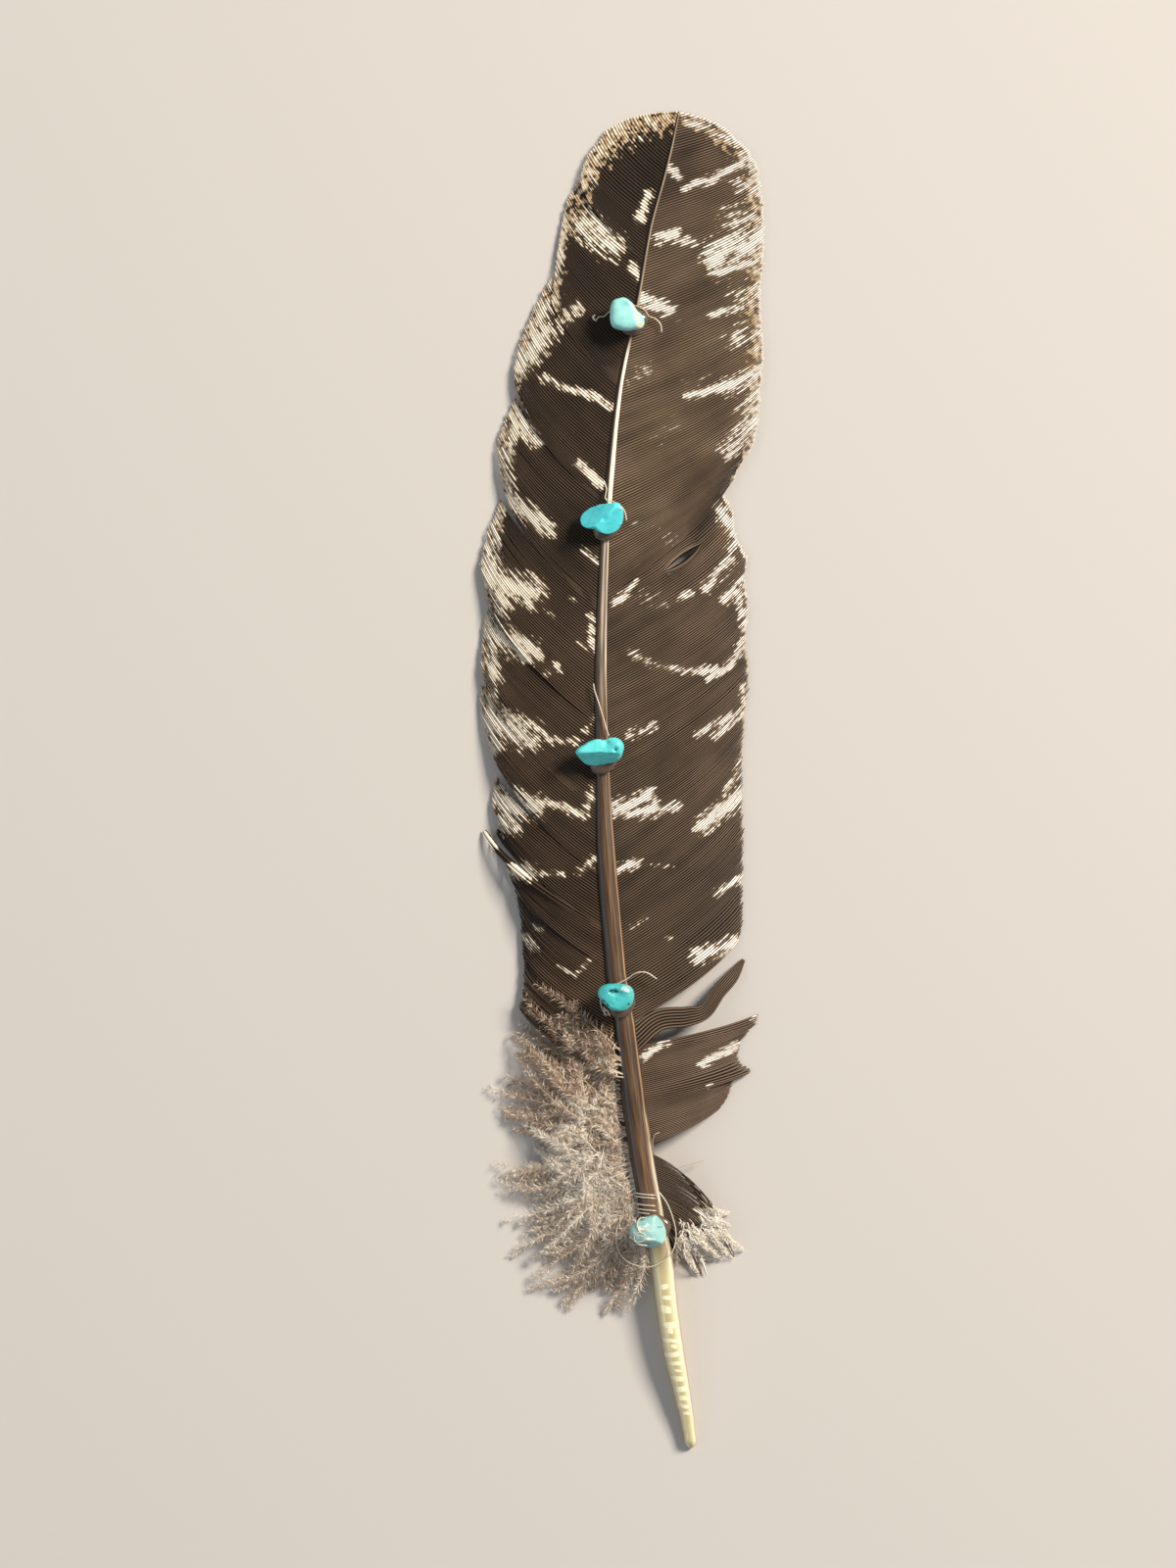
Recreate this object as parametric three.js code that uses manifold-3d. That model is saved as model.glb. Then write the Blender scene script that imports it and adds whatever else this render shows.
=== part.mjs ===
// A turkey wing feather with five turquoise chips tied and glued along its shaft.
// Millimetres. The feather lies on z = 0 with its better side up, its tip towards +Y and its
// quill towards -Y. The origin is on the surface, under the middle of the whole object.
import * as THREE from "three";
import { mergeVertices } from "three/addons/utils/BufferGeometryUtils.js";
import Module from "manifold-3d";

const wasm = await Module();
wasm.setup();

// Driving dimensions
const HALF_LENGTH = 150; // the feather is 300 mm from the tip to the end of the quill
const ARCH = 5; // rise of the shaft's underside midway between its two ends
const VANE = 0.8; // thickness of the sheet of barbs
const ATTACH = 0.8; // how high on the shaft's side the barbs leave it, as a share of its height
const DROOP = 1.5; // power of the fall from the shaft to the edge of a vane
const LAP = 1; // how far the lower end of a lobe stands over the next lobe
const GAP = 0.3; // clearance between neighbouring pieces
const GLUE_HEIGHT = 1.2;
const THREAD_RADIUS = 0.22;
const FINEST = 0.1; // slivers finer than this are dropped where pieces of the feather fuse

// The shaft from tip to quill end: [x, y, width]
const SHAFT = [
  [12.4, 149.9, 0.6], [9.8, 138.3, 0.9], [6, 124, 1], [2.8, 105.9, 1.2], [-0.9, 88.1, 1.5],
  [-3, 69.6, 2.1], [-4.3, 53.4, 2.3], [-5.2, 25.4, 3.1], [-4.7, 1, 3.6], [-3.9, -17.7, 4.8],
  [-1.8, -43, 5.1], [0.1, -54.2, 5.2], [2.5, -74, 5.6], [4.2, -85.2, 5.5], [6.3, -96.7, 5.3],
  [8.5, -108.6, 5.3], [9.6, -117.6, 5.1], [11.3, -128.8, 4.8], [13.5, -140, 3.7],
  [14.5, -145.6, 3], [14.9, -148.4, 2.8], [15.1, -149.9, 1.8],
];

// The lobes of the vanes. Each edge point is [x, y, root]: the barb that ends at x, y leaves the
// shaft at the height y = root. A lobe runs from its barb nearest the tip to its lowest barb.
const LEFT_LOBES = [
  [[12.4, 149.9, 149.9], [4.7, 149.3, 142], [-2.3, 146.8, 134.3], [-8.5, 139.6, 125.3],
    [-9.8, 133.9, 116]],
  [[-9.8, 135, 119.6], [-13.1, 128.2, 111.2], [-14.8, 118.7, 100.2], [-16.2, 107.5, 87.9]],
  [[-16.4, 112.5, 93.2], [-21.9, 101.5, 78.9], [-24.5, 91.5, 67], [-23.4, 85.5, 61]],
  [[-24.3, 85.7, 63.2], [-28.3, 75.8, 49], [-26.9, 65.2, 39], [-26.3, 63.2, 37.3]],
  [[-27.6, 62.8, 39], [-30.5, 56, 27.6], [-32, 48, 18], [-30.5, 40.6, 11.8]],
  [[-30.7, 39, 12.7], [-32, 28.3, -1.4], [-31.1, 21.4, -8]],
  [[-31.6, 22.8, -5], [-32, 16.6, -12], [-29.8, 6.5, -19.9], [-27.6, 2.8, -22.6]],
  [[-28.7, 1.2, -21.2], [-29.6, -4.5, -28.5], [-27.4, -12.4, -35.1]],
  [[-28.5, -11.1, -32.9], [-32, -11.8, -34], [-28.3, -15.1, -36.6], [-25.4, -22.3, -42.8]],
  [[-24.8, -21.2, -40.6], [-23.2, -31.4, -50.3], [-22.6, -45.4, -63], [-23.4, -51.1, -67.9]],
];
const RIGHT_LOBES = [
  [[12.4, 149.9, 149.9], [21.9, 146.8, 142.9], [28.3, 140.9, 133.2], [30.9, 132.8, 121.1],
    [31.8, 122.7, 109], [31.1, 102.4, 86.1], [30.5, 84.6, 65], [26.9, 71.6, 47.9],
    [23, 65, 40.4]],
  [[22.3, 65, 43], [25.6, 54, 32.5], [27.4, 44.3, 22.3], [27.6, 28.7, 5.6], [28.3, 23.9, 0.3],
    [26.9, 10.4, -13.8], [26.9, -23.4, -45.9], [25.9, -35.8, -54.7]],
];
const FAN = [
  [30.2, -52.7, -60], [26.9, -57.8, -64.8], [25.6, -62.8, -69.6], [28.4, -65.5, -71.8],
  [25.4, -66.7, -73.6], [23.4, -71, -78], [21.7, -73.6, -82],
];
const SMALL_VANE = [
  [18.8, -97.3, -82.8], [20.8, -97.8, -84.6], [23.2, -105.7, -91.6], [19.5, -105.7, -93.4],
  [17.3, -111, -96.9], [10.9, -107, -99.1],
];
// Where a barb's middle pulls it, as shares of the way out and of the way up from root to end
const LEFT_BEND = [0.8, 0.55];
const RIGHT_BEND = [0.75, 0.55];
const SMALL_BEND = [0.55, 0.4];

// The strip of barbs that has come away below the right vane: [x, y, width]
const HOOK = [
  [1.5, -58.8, 5], [7.4, -53.8, 4.8], [14, -52.9, 4.4], [18.1, -51.8, 3.3], [21.2, -47.6, 3.1],
  [24.3, -44.1, 2.9], [26.9, -40.4, 0.9],
];

// The tufts of down, each [height of its root on the shaft, tip x, tip y], from the highest down
const TUFTS = [
  [-62, -23.4, -49.8], [-66, -24.8, -56], [-70, -23.9, -60.4], [-73, -27.4, -65.5],
  [-76, -31.4, -70], [-78, -28.9, -73.2], [-80, -23.4, -77.1], [-82, -21, -80.2],
  [-85, -29.4, -87], [-87, -29.1, -90.3], [-88.5, -25.2, -93.6], [-90, -22.3, -97.1],
  [-91, -26.5, -107.2], [-92, -23.2, -102.6], [-93, -19, -106.2], [-94, -18.1, -108.8],
  [-95, -21.9, -115.8], [-96, -16.8, -114.5], [-97.5, -13.8, -118.9], [-98.5, -8.9, -114.1],
  [-99.5, -5.6, -112.3], [-100.5, -3.6, -120.5], [-101.5, -0.6, -114.3], [-102.5, 1.9, -109.2],
];
const LOCKS = [[-0.1, 0.76, 2], [0.05, 1, 0]]; // [turn, share of the way, lift]
const LOCK_WIDTH = 4.6;
const LOCK_BEND = [0.6, 0.2]; // where the middle of a lock pulls it, as for a barb

// The chips from the tip down: middle, size along x, y and z, turn, and the flat faces that the
// stone broke along, each [compass angle, rise, share of the half size at which it lies]
const CHIPS = [
  { at: [0.7, 103.7], size: [7.7, 7.4, 4.6], turn: 0.1, faces: [[0.6, 0.5, 0.9], [2.4, 0.3, 0.92],
    [4.1, 0.2, 0.9], [5.4, 0.6, 0.85], [1.5, 1.35, 0.86]] },
  { at: [-4.9, 58.1], size: [9.6, 6.9, 5], turn: 0.25, faces: [[0.3, 0.4, 0.92], [1.9, 0.7, 0.74],
    [3.5, 0.3, 0.84], [5, 0.75, 0.72], [2.6, 0.2, 0.8]] },
  { at: [-5.4, 6.2], size: [10.8, 6.3, 5], turn: 0.05, faces: [[1.6, 0.75, 0.7], [4.6, 0.6, 0.68],
    [2.7, 0.1, 0.8], [3.7, 0.1, 0.78], [0.2, 0.5, 0.95]] },
  { at: [-1.8, -48.3], size: [8.1, 6.2, 4.4], turn: -0.1, faces: [[0.9, 0.6, 0.9], [2.5, 0.5, 0.85],
    [4.3, 0.4, 0.88], [5.6, 0.3, 0.9], [1.5, 1.4, 0.82]] },
  { at: [5.3, -100.3], size: [8.1, 7.3, 4.6], turn: 0.4, faces: [[0.1, 0.5, 0.86], [1.5, 0.5, 0.85],
    [3, 0.3, 0.85], [4.7, 0.8, 0.8], [5.6, 0.3, 0.85]] },
];
const GLUE = [[3.3, -1.3], [3.5, -1.5], [3.6, -1.6], [3.2, -1.7], [3.6, 0.4]]; // [radius, y shift]

// The threads' routes from one end to the other: [x, y, height over the top of the shaft there]
const THREADS = [
  [[-6.9, 103.1, 0.9], [-6.2, 103.6, 1.1], [-5.2, 102.6, 0.8], [-4.8, 101, 0.8],
    [-4.3, 103.4, 0.8], [-3.3, 106.2, 0.8], [-0.6, 107.3, 0.8], [2.4, 107.2, 0.8],
    [4.6, 105.6, 0.8], [5.6, 103.6, 0.9], [7, 103, 0.8], [8.2, 101.8, 0.5], [8.5, 100, 0.5]],
  [[-4.5, 66.8, 0.7], [-3.9, 64.8, 0.9], [-4.1, 62.6, 0.8], [-2.2, 61.9, 0.8], [-0.5, 60.8, 0.8],
    [0.3, 59.4, 0.8], [0.6, 57.7, 1]],
  [[-6.8, 21.4, 0.7], [-6.5, 19.7, 0.7], [-5.4, 16.4, 0.8], [-4.3, 12.7, 0.8], [-3.8, 10.9, 0.9],
    [-3.3, 9.6, 0.8]],
  [[7.4, -44.4, 0.9], [5.2, -43, 1.4], [3.7, -42.8, 1.6], [2.3, -43.2, 1.4], [0.9, -44.2, 0.9],
    [-1.5, -45.5, 0.7], [-4.3, -46.7, 0.7], [-5.2, -49, 0.7], [-4.8, -51, 0.7],
    [-3.9, -52.2, 0.8]],
  [[7.8, -91.8, 0.6], [9.6, -94.4, 0.8], [11, -98, 1], [11.6, -101.6, 1], [10.9, -105, 0.9],
    [8.7, -107.3, 0.8], [5.8, -108.6, 0.9], [2.6, -108.3, 1.2], [-0.3, -106.6, 1.4],
    [-1.6, -103.4, 1.4], [-1.5, -100, 1.2], [-0.2, -97.6, 0.9]],
];

/** The value of a list's column at the height y, with straight lines between its rows. */
function along(rows, y, column) {
  const below = rows.findIndex((row) => row[1] <= y);
  if (below <= 0) return rows[below === 0 ? 0 : rows.length - 1][column];
  const [a, b] = [rows[below - 1], rows[below]];
  return THREE.MathUtils.lerp(a[column], b[column], (a[1] - y) / (a[1] - b[1]));
}

/** Height of the shaft's underside: a low arch that touches the surface at both ends. */
const underside = (y) => ARCH * (1 - (y / HALF_LENGTH) ** 2);

/** The shaft is nearly as deep as it is wide, but keeps some depth at the thin tip. */
const depth = (y) => Math.max(0.9, 0.95 * along(SHAFT, y, 2));

const shaftTop = (y) => underside(y) + depth(y);

/** A closed mesh as a solid: only the positions are kept, with shared vertices merged. */
function solid(geometry) {
  const bare = geometry.clone();
  bare.deleteAttribute("normal");
  bare.deleteAttribute("uv");
  const merged = mergeVertices(bare, 1e-4);
  return new wasm.Manifold(
    new wasm.Mesh({
      numProp: 3,
      vertProperties: new Float32Array(merged.attributes.position.array),
      triVerts: new Uint32Array(merged.index.array),
    }),
  );
}

/** A solid's vertices and triangles as a geometry with flat shading. */
function geometryOf(body) {
  const mesh = body.getMesh();
  const geometry = new THREE.BufferGeometry();
  geometry.setAttribute("position", new THREE.BufferAttribute(mesh.vertProperties, 3));
  geometry.setIndex(new THREE.BufferAttribute(mesh.triVerts, 1));
  geometry.computeVertexNormals();
  return geometry;
}

/** A closed skin over rings of equally many points, with a fan to a middle point at each end. */
function skin(rings) {
  const sides = rings[0].length;
  const points = rings.flat();
  const faces = [];
  for (let ring = 0; ring + 1 < rings.length; ring++) {
    for (let i = 0; i < sides; i++) {
      const a = ring * sides + i;
      const b = ring * sides + ((i + 1) % sides);
      faces.push([a, b, b + sides], [a, b + sides, a + sides]);
    }
  }
  const middle = (ring) => ring.reduce((sum, p) => sum.add(p), new THREE.Vector3())
    .divideScalar(sides);
  const last = (rings.length - 1) * sides;
  for (let i = 0; i < sides; i++) {
    const next = (i + 1) % sides;
    faces.push([points.length, next, i], [points.length + 1, last + i, last + next]);
  }
  points.push(middle(rings[0]), middle(rings.at(-1)));
  return facesOut(points, faces);
}

/** A geometry from points and triangles, turned inside out where its volume is negative. */
function facesOut(points, faces) {
  let volume = 0;
  for (const [a, b, c] of faces) {
    volume += points[a].dot(new THREE.Vector3().crossVectors(points[b], points[c]));
  }
  const geometry = new THREE.BufferGeometry().setFromPoints(points);
  geometry.setIndex(faces.flatMap(([a, b, c]) => (volume < 0 ? [a, c, b] : [a, b, c])));
  return geometry;
}

/** A sheet of the vane's thickness under a grid of points, rows by columns. */
function sheet(grid) {
  const rings = grid.map((row) => {
    const under = row.map((p) => new THREE.Vector3(p.x, p.y, p.z - VANE));
    return [...row, ...under.reverse()];
  });
  const sides = rings[0].length;
  const columns = grid[0].length;
  const points = rings.flat();
  const faces = [];
  for (let row = 0; row + 1 < rings.length; row++) {
    for (let i = 0; i < sides; i++) {
      const a = row * sides + i;
      const b = row * sides + ((i + 1) % sides);
      faces.push([a, b, b + sides], [a, b + sides, a + sides]);
    }
  }
  const last = (rings.length - 1) * sides;
  for (let i = 0; i + 1 < columns; i++) {
    const under = sides - 1 - i;
    faces.push([i, under - 1, i + 1], [i, under, under - 1]);
    faces.push([last + i, last + i + 1, last + under - 1]);
    faces.push([last + i, last + under - 1, last + under]);
  }
  return facesOut(points, faces);
}

/** Quill and shaft in one: ten-sided rings on the underside's arch, as wide as the list says. */
function shaft() {
  const rings = SHAFT.map(([x, y, width]) => {
    const half = depth(y) / 2;
    return Array.from({ length: 10 }, (_, i) => {
      const turn = (i / 10) * 2 * Math.PI + Math.PI / 10;
      return new THREE.Vector3(
        x + (width / 2) * Math.cos(turn),
        y,
        underside(y) + half + half * Math.sin(turn),
      );
    });
  });
  return solid(skin(rings));
}

/**
 * One lobe: barbs from the shaft to the points of its edge. A barb is a curve with one middle
 * point that bends it towards the tip, and falls from the shaft to the surface at its end.
 */
function lobe(edge, bend, rows, columns, lap) {
  const grid = [];
  for (let row = 0; row <= rows; row++) {
    const place = (row / rows) * (edge.length - 1);
    const i = Math.min(Math.floor(place), edge.length - 2);
    const [x, y, root] = edge[i].map((v, k) => THREE.MathUtils.lerp(v, edge[i + 1][k], place - i));
    const barb = barbRoute(root, new THREE.Vector2(x, y), bend);
    const high = Math.max(VANE, underside(root) + ATTACH * depth(root));
    grid.push(Array.from({ length: columns + 1 }, (_, k) => {
      const u = k / columns;
      const p = barb.getPoint(u);
      const over = lap * (row / rows) ** 2 * Math.min(1, 2 * u);
      return new THREE.Vector3(p.x, p.y, VANE + (high - VANE) * (1 - u ** DROOP) + over);
    }));
  }
  return solid(sheet(grid));
}

/** The strip that came away: a sheet along its own route, falling to the surface at its tip. */
function hookStrip() {
  const grid = HOOK.map(([x, y, width], i) => {
    const before = HOOK[Math.max(0, i - 1)];
    const after = HOOK[Math.min(HOOK.length - 1, i + 1)];
    const across = new THREE.Vector2(before[1] - after[1], after[0] - before[0]).normalize();
    const high = underside(y) + ATTACH * depth(y);
    const z = VANE + (high - VANE) * (1 - (i / (HOOK.length - 1)) ** DROOP);
    return [-0.5, 0.5].map((side) => new THREE.Vector3(
      x + across.x * side * width,
      y + across.y * side * width,
      z,
    ));
  });
  return solid(sheet(grid));
}

/** A curve from the shaft to an end, bent by one middle point at the given shares of the way. */
function barbRoute(root, end, bend) {
  const start = new THREE.Vector2(along(SHAFT, root, 0), root);
  const pull = new THREE.Vector2(
    THREE.MathUtils.lerp(start.x, end.x, bend[0]),
    THREE.MathUtils.lerp(start.y, end.y, bend[1]),
  );
  return new THREE.QuadraticBezierCurve(start, pull, end);
}

/** One lock of down: a flat four-sided spindle along its route, widest at two fifths of it. */
function lock(root, tip, lift) {
  const route = barbRoute(root, tip, LOCK_BEND);
  const high = underside(root) + depth(root) * 0.5;
  const rings = [[0, 0.4], [0.25, 0.8], [0.5, 1], [0.78, 0.65], [1, 0.1]].map(([t, share]) => {
    const p = route.getPoint(t);
    const way = route.getTangent(t);
    const half = (LOCK_WIDTH / 2) * share;
    const z = THREE.MathUtils.lerp(high, 0.6, t ** 1.3) + lift * 4 * t * (1 - t);
    const thick = Math.min(half * 0.5, z);
    return [
      new THREE.Vector3(p.x - way.y * half, p.y + way.x * half, z),
      new THREE.Vector3(p.x, p.y, z + thick),
      new THREE.Vector3(p.x + way.y * half, p.y - way.x * half, z),
      new THREE.Vector3(p.x, p.y, z - thick),
    ];
  });
  return solid(skin(rings));
}

/** The locks of one tuft, turned a little apart about their root on the shaft. */
function tuft([root, tipX, tipY]) {
  const start = new THREE.Vector2(along(SHAFT, root, 0), root);
  return LOCKS.map(([turn, share, lift]) => {
    const tip = new THREE.Vector2(tipX, tipY).sub(start).multiplyScalar(share)
      .rotateAround(new THREE.Vector2(), turn).add(start);
    return lock(root, tip, lift);
  });
}

/** The whole feather, fused into one solid. */
function feather() {
  const pieces = [
    shaft(),
    hookStrip(),
    ...LEFT_LOBES.map((edge) => lobe(edge, LEFT_BEND, 5, 5, LAP)),
    lobe(RIGHT_LOBES[0], RIGHT_BEND, 16, 5, LAP),
    lobe(RIGHT_LOBES[1], RIGHT_BEND, 14, 5, 0),
    lobe(FAN, RIGHT_BEND, 6, 4, 0),
    lobe(SMALL_VANE, SMALL_BEND, 5, 4, 0),
    ...TUFTS.flatMap(tuft),
  ];
  // Small voids between overlapping lobes and locks are shells of their own, and are filled
  const shells = wasm.Manifold.union(pieces).decompose();
  const outer = shells.reduce((a, b) => (a.volume() > b.volume() ? a : b));
  return geometryOf(outer.simplify(FINEST));
}

/**
 * A stone chip: a fine ball whose every ray is cut where it meets the broken faces, with the
 * edges between them tumbled round, then scaled to the chip's size.
 */
function chip({ at, size, turn, faces }, low) {
  const geometry = mergeVertices(bareBall());
  const cuts = faces.map(([compass, rise, share]) => [
    new THREE.Vector3(
      Math.cos(rise) * Math.cos(compass),
      Math.cos(rise) * Math.sin(compass),
      Math.sin(rise),
    ),
    share,
  ]);
  const p = new THREE.Vector3();
  const position = geometry.attributes.position;
  for (let i = 0; i < position.count; i++) {
    p.fromBufferAttribute(position, i).normalize();
    const cut = cuts.reduce((sum, [n, share]) => sum + Math.max(0, p.dot(n) / share) ** 8, 1);
    p.multiplyScalar(cut ** (-1 / 8));
    position.setXYZ(i, p.x, p.y, p.z);
  }
  fit(geometry, turn, size);
  return geometry.translate(at[0], at[1], low + size[2] / 2);
}

function bareBall() {
  const ball = new THREE.IcosahedronGeometry(1, 2);
  ball.deleteAttribute("normal");
  ball.deleteAttribute("uv");
  return ball;
}

/** Turns a shape about z and scales its box to the size given, about its own middle. */
function fit(geometry, turn, size) {
  geometry.rotateZ(turn);
  geometry.computeBoundingBox();
  const box = geometry.boundingBox.getSize(new THREE.Vector3());
  geometry.center();
  geometry.scale(size[0] / box.x, size[1] / box.y, size[2] / box.z);
}

/** A dab of glue: a low dome with a flat underside just over the shaft. */
function glueDab(radius, x, y, low) {
  const profile = [[0, 0], [0.8, 0], [1, 0.35], [0.85, 0.75], [0.5, 0.95], [0, 1]]
    .map(([r, z]) => new THREE.Vector2(r * radius, z * GLUE_HEIGHT));
  const dome = new THREE.LatheGeometry(profile, 12).rotateX(Math.PI / 2);
  return geometryOf(solid(dome)).translate(x, y, low);
}

/** A thread: a six-sided tube along a smooth curve through its points. */
function thread(points) {
  const route = new THREE.CatmullRomCurve3(
    points.map(([x, y, over]) => new THREE.Vector3(x, y, shaftTop(y) + over)),
  );
  const section = new THREE.Shape(Array.from({ length: 6 }, (_, i) => new THREE.Vector2(
    THREAD_RADIUS * Math.cos((i * Math.PI) / 3),
    THREAD_RADIUS * Math.sin((i * Math.PI) / 3),
  )));
  return new THREE.ExtrudeGeometry(section, { extrudePath: route, steps: points.length * 2 });
}

function add(group, name, geometry, color, roughness) {
  const mesh = new THREE.Mesh(
    geometry,
    new THREE.MeshStandardMaterial({ color, roughness, metalness: 0 }),
  );
  mesh.name = name;
  group.add(mesh);
}

const group = new THREE.Group();
add(group, "feather", feather(), 0x5a4a3a, 0.75);
CHIPS.forEach((stone, i) => {
  const [radius, shift] = GLUE[i];
  const [x, y] = stone.at;
  const low = Math.max(shaftTop(y + shift - radius), shaftTop(y + shift + radius)) + GAP;
  const glueX = along(SHAFT, y + shift, 0);
  add(group, `glue_dab_${i + 1}`, glueDab(radius, glueX, y + shift, low), 0x6b5b4c, 0.3);
  const seat = low + GLUE_HEIGHT + GAP;
  add(group, `turquoise_chip_${i + 1}`, chip(stone, seat), 0x55d5db, 0.35);
});
THREADS.forEach((points, i) => {
  add(group, `thread_${i + 1}`, thread(points), 0xb8b0a0, 0.3);
});

// The origin goes on the surface under the middle of the whole object
const box = new THREE.Box3().setFromObject(group);
const middle = box.getCenter(new THREE.Vector3());
group.position.set(-middle.x, -middle.y, -box.min.z);
group.updateMatrixWorld(true);

export default group;
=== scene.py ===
import math
import bpy
import numpy as np
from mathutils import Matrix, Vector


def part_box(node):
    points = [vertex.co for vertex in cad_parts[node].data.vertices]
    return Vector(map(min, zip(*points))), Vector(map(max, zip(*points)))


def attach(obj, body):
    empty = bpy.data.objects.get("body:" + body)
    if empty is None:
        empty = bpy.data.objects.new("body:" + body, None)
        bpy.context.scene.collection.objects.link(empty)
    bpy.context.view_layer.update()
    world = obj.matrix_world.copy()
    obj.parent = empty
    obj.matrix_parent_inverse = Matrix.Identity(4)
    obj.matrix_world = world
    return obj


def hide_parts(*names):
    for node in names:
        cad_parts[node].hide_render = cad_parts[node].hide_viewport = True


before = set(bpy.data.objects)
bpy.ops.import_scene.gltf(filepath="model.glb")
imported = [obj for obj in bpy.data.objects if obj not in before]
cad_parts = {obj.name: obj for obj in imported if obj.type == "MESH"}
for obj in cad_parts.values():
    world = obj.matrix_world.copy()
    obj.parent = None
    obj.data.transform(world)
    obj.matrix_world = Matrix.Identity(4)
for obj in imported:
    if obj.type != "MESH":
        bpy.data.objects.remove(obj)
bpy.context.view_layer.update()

# Camera: straight above the feather, with the tip up the picture, as the photograph was taken.
# The picture is 264 mm wide and 352 mm high at the height of the surface, and the feather's
# middle is 8 mm to the right of the picture's.
MM = 0.001
VIEW_HEIGHT = 352 * MM
VIEW_MIDDLE = (-8.0 * MM, -1.0 * MM)
CAMERA_HEIGHT = 1.1
camera_data = bpy.data.cameras.new("camera")
camera_data.sensor_width = 36
camera_data.lens = camera_data.sensor_width * CAMERA_HEIGHT / VIEW_HEIGHT
camera_data.clip_start = 0.01
camera = bpy.data.objects.new("camera", camera_data)
camera.location = (*VIEW_MIDDLE, CAMERA_HEIGHT)
bpy.context.collection.objects.link(camera)
bpy.context.scene.camera = camera
bpy.context.scene.view_settings.view_transform = "Standard"


# Floor and light: a pale matt floor, one soft key light from the upper right of the picture,
# which throws the chips' shadows to the lower left, and a weak wide light from the left.
def linear(code):
    """An sRGB hex colour such as 8a6f52 as linear red, green, blue and a full alpha."""
    share = np.array([int(code[i:i + 2], 16) for i in (0, 2, 4)]) / 255
    low = share / 12.92
    high = ((share + 0.055) / 1.055) ** 2.4
    return (*np.where(share <= 0.04045, low, high), 1.0)


def node(tree, kind, links=None, stops=(), **settings):
    """Adds a node, sets its properties and its inputs, and links what comes from other nodes.
    Stops are a colour ramp's places, each with its sRGB hex colour."""
    made = tree.nodes.new(kind)
    for name, value in settings.items():
        setattr(made, name, value)
    for name, value in (links or {}).items():
        if isinstance(value, bpy.types.NodeSocket):
            tree.links.new(value, made.inputs[name])
        else:
            made.inputs[name].default_value = value
    if stops:
        elements = made.color_ramp.elements
        elements.remove(elements[1])
        elements[0].position = stops[0][0]
        elements[0].color = linear(stops[0][1])
        for place, code in stops[1:]:
            elements.new(place).color = linear(code)
    return made


def finish(name, numbers):
    """A new material with the numbers of its shader set, its tree, and its shader."""
    made = bpy.data.materials.new(name)
    made.use_nodes = True
    tree = made.node_tree
    shader = tree.nodes["Principled BSDF"]
    for key, value in numbers.items():
        shader.inputs[key].default_value = value
    return made, tree, shader


def light(name, size, place, power, colour):
    """A square area light that looks at the middle of the feather."""
    data = bpy.data.lights.new(name, "AREA")
    data.size = size
    data.energy = power
    data.color = linear(colour)[:3]
    made = bpy.data.objects.new(name, data)
    made.location = place
    away = np.array(place)
    made.rotation_euler = (
        math.acos(away[2] / np.linalg.norm(away)),
        0,
        math.atan2(away[1], away[0]) + math.pi / 2,
    )
    bpy.context.collection.objects.link(made)


light("key_light", 0.7, (1.52, 1.12, 1.5), 85, "fff4e6")
light("side_light", 1.6, (-1.8, -0.4, 1.6), 10, "eef3ff")
world = bpy.data.worlds.new("studio")
world.use_nodes = True
backdrop = world.node_tree.nodes["Background"]
backdrop.inputs["Color"].default_value = linear("e8eaee")
backdrop.inputs["Strength"].default_value = 0.3
bpy.context.scene.world = world

floor_mesh = bpy.data.meshes.new("floor")
FLOOR = 2
floor_mesh.from_pydata([(-FLOOR, -FLOOR, 0), (FLOOR, -FLOOR, 0), (FLOOR, FLOOR, 0),
                        (-FLOOR, FLOOR, 0)], [], [(0, 1, 2, 3)])
floor = bpy.data.objects.new("floor", floor_mesh)
bpy.context.collection.objects.link(floor)
paper, _, _ = finish("matt_paper_floor", {"Base Color": linear("cfccc7"), "Roughness": 0.9})
floor_mesh.materials.append(paper)


# Shaft: one horn tube, the bare pale quill below and the solid brown shaft above it, tapering
# to a thread at the tip. It is arched lengthwise, slightly boxy where the barbs stand on it,
# round at the quill, and carries a fine groove beside a bright ridge on its right.

# The middle line from the tip down, as x, y and width. All lengths are in millimetres.
SHAFT = np.array([
    (12.4, 149.9, 0.6), (9.8, 138.3, 0.9), (6, 124, 1), (2.8, 105.9, 1.2), (-0.9, 88.1, 1.5),
    (-3, 69.6, 2.1), (-4.3, 53.4, 2.3), (-5.2, 25.4, 3.1), (-4.7, 1, 3.6), (-3.9, -17.7, 4.8),
    (-1.8, -43, 5.1), (0.1, -54.2, 5.2), (2.5, -74, 5.6), (4.2, -85.2, 5.5), (6.3, -96.7, 5.3),
    (8.5, -108.6, 5.3), (9.6, -117.6, 5.1), (11.3, -128.8, 4.8), (13.5, -140, 3.7), (14.5, -145.6, 3),
    (14.9, -148.4, 2.8), (15.1, -149.9, 1.8),
])
HALF_LENGTH = 150
ARCH = 5
THINNEST_SHAFT = 0.9
CAP = 1.1


def smooth(rows, places):
    """A smooth curve through rows of numbers, read at places counted in rows (Catmull-Rom)."""
    rows = np.vstack([2 * rows[0] - rows[1], rows, 2 * rows[-1] - rows[-2]])
    i = np.clip(places.astype(int), 0, len(rows) - 4)
    f = (places - i)[:, None]
    a, b, c, d = rows[i], rows[i + 1], rows[i + 2], rows[i + 3]
    return 0.5 * (2 * b + (c - a) * f + (2 * a - 5 * b + 4 * c - d) * f ** 2
                  + (3 * b - a - 3 * c + d) * f ** 3)


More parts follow.
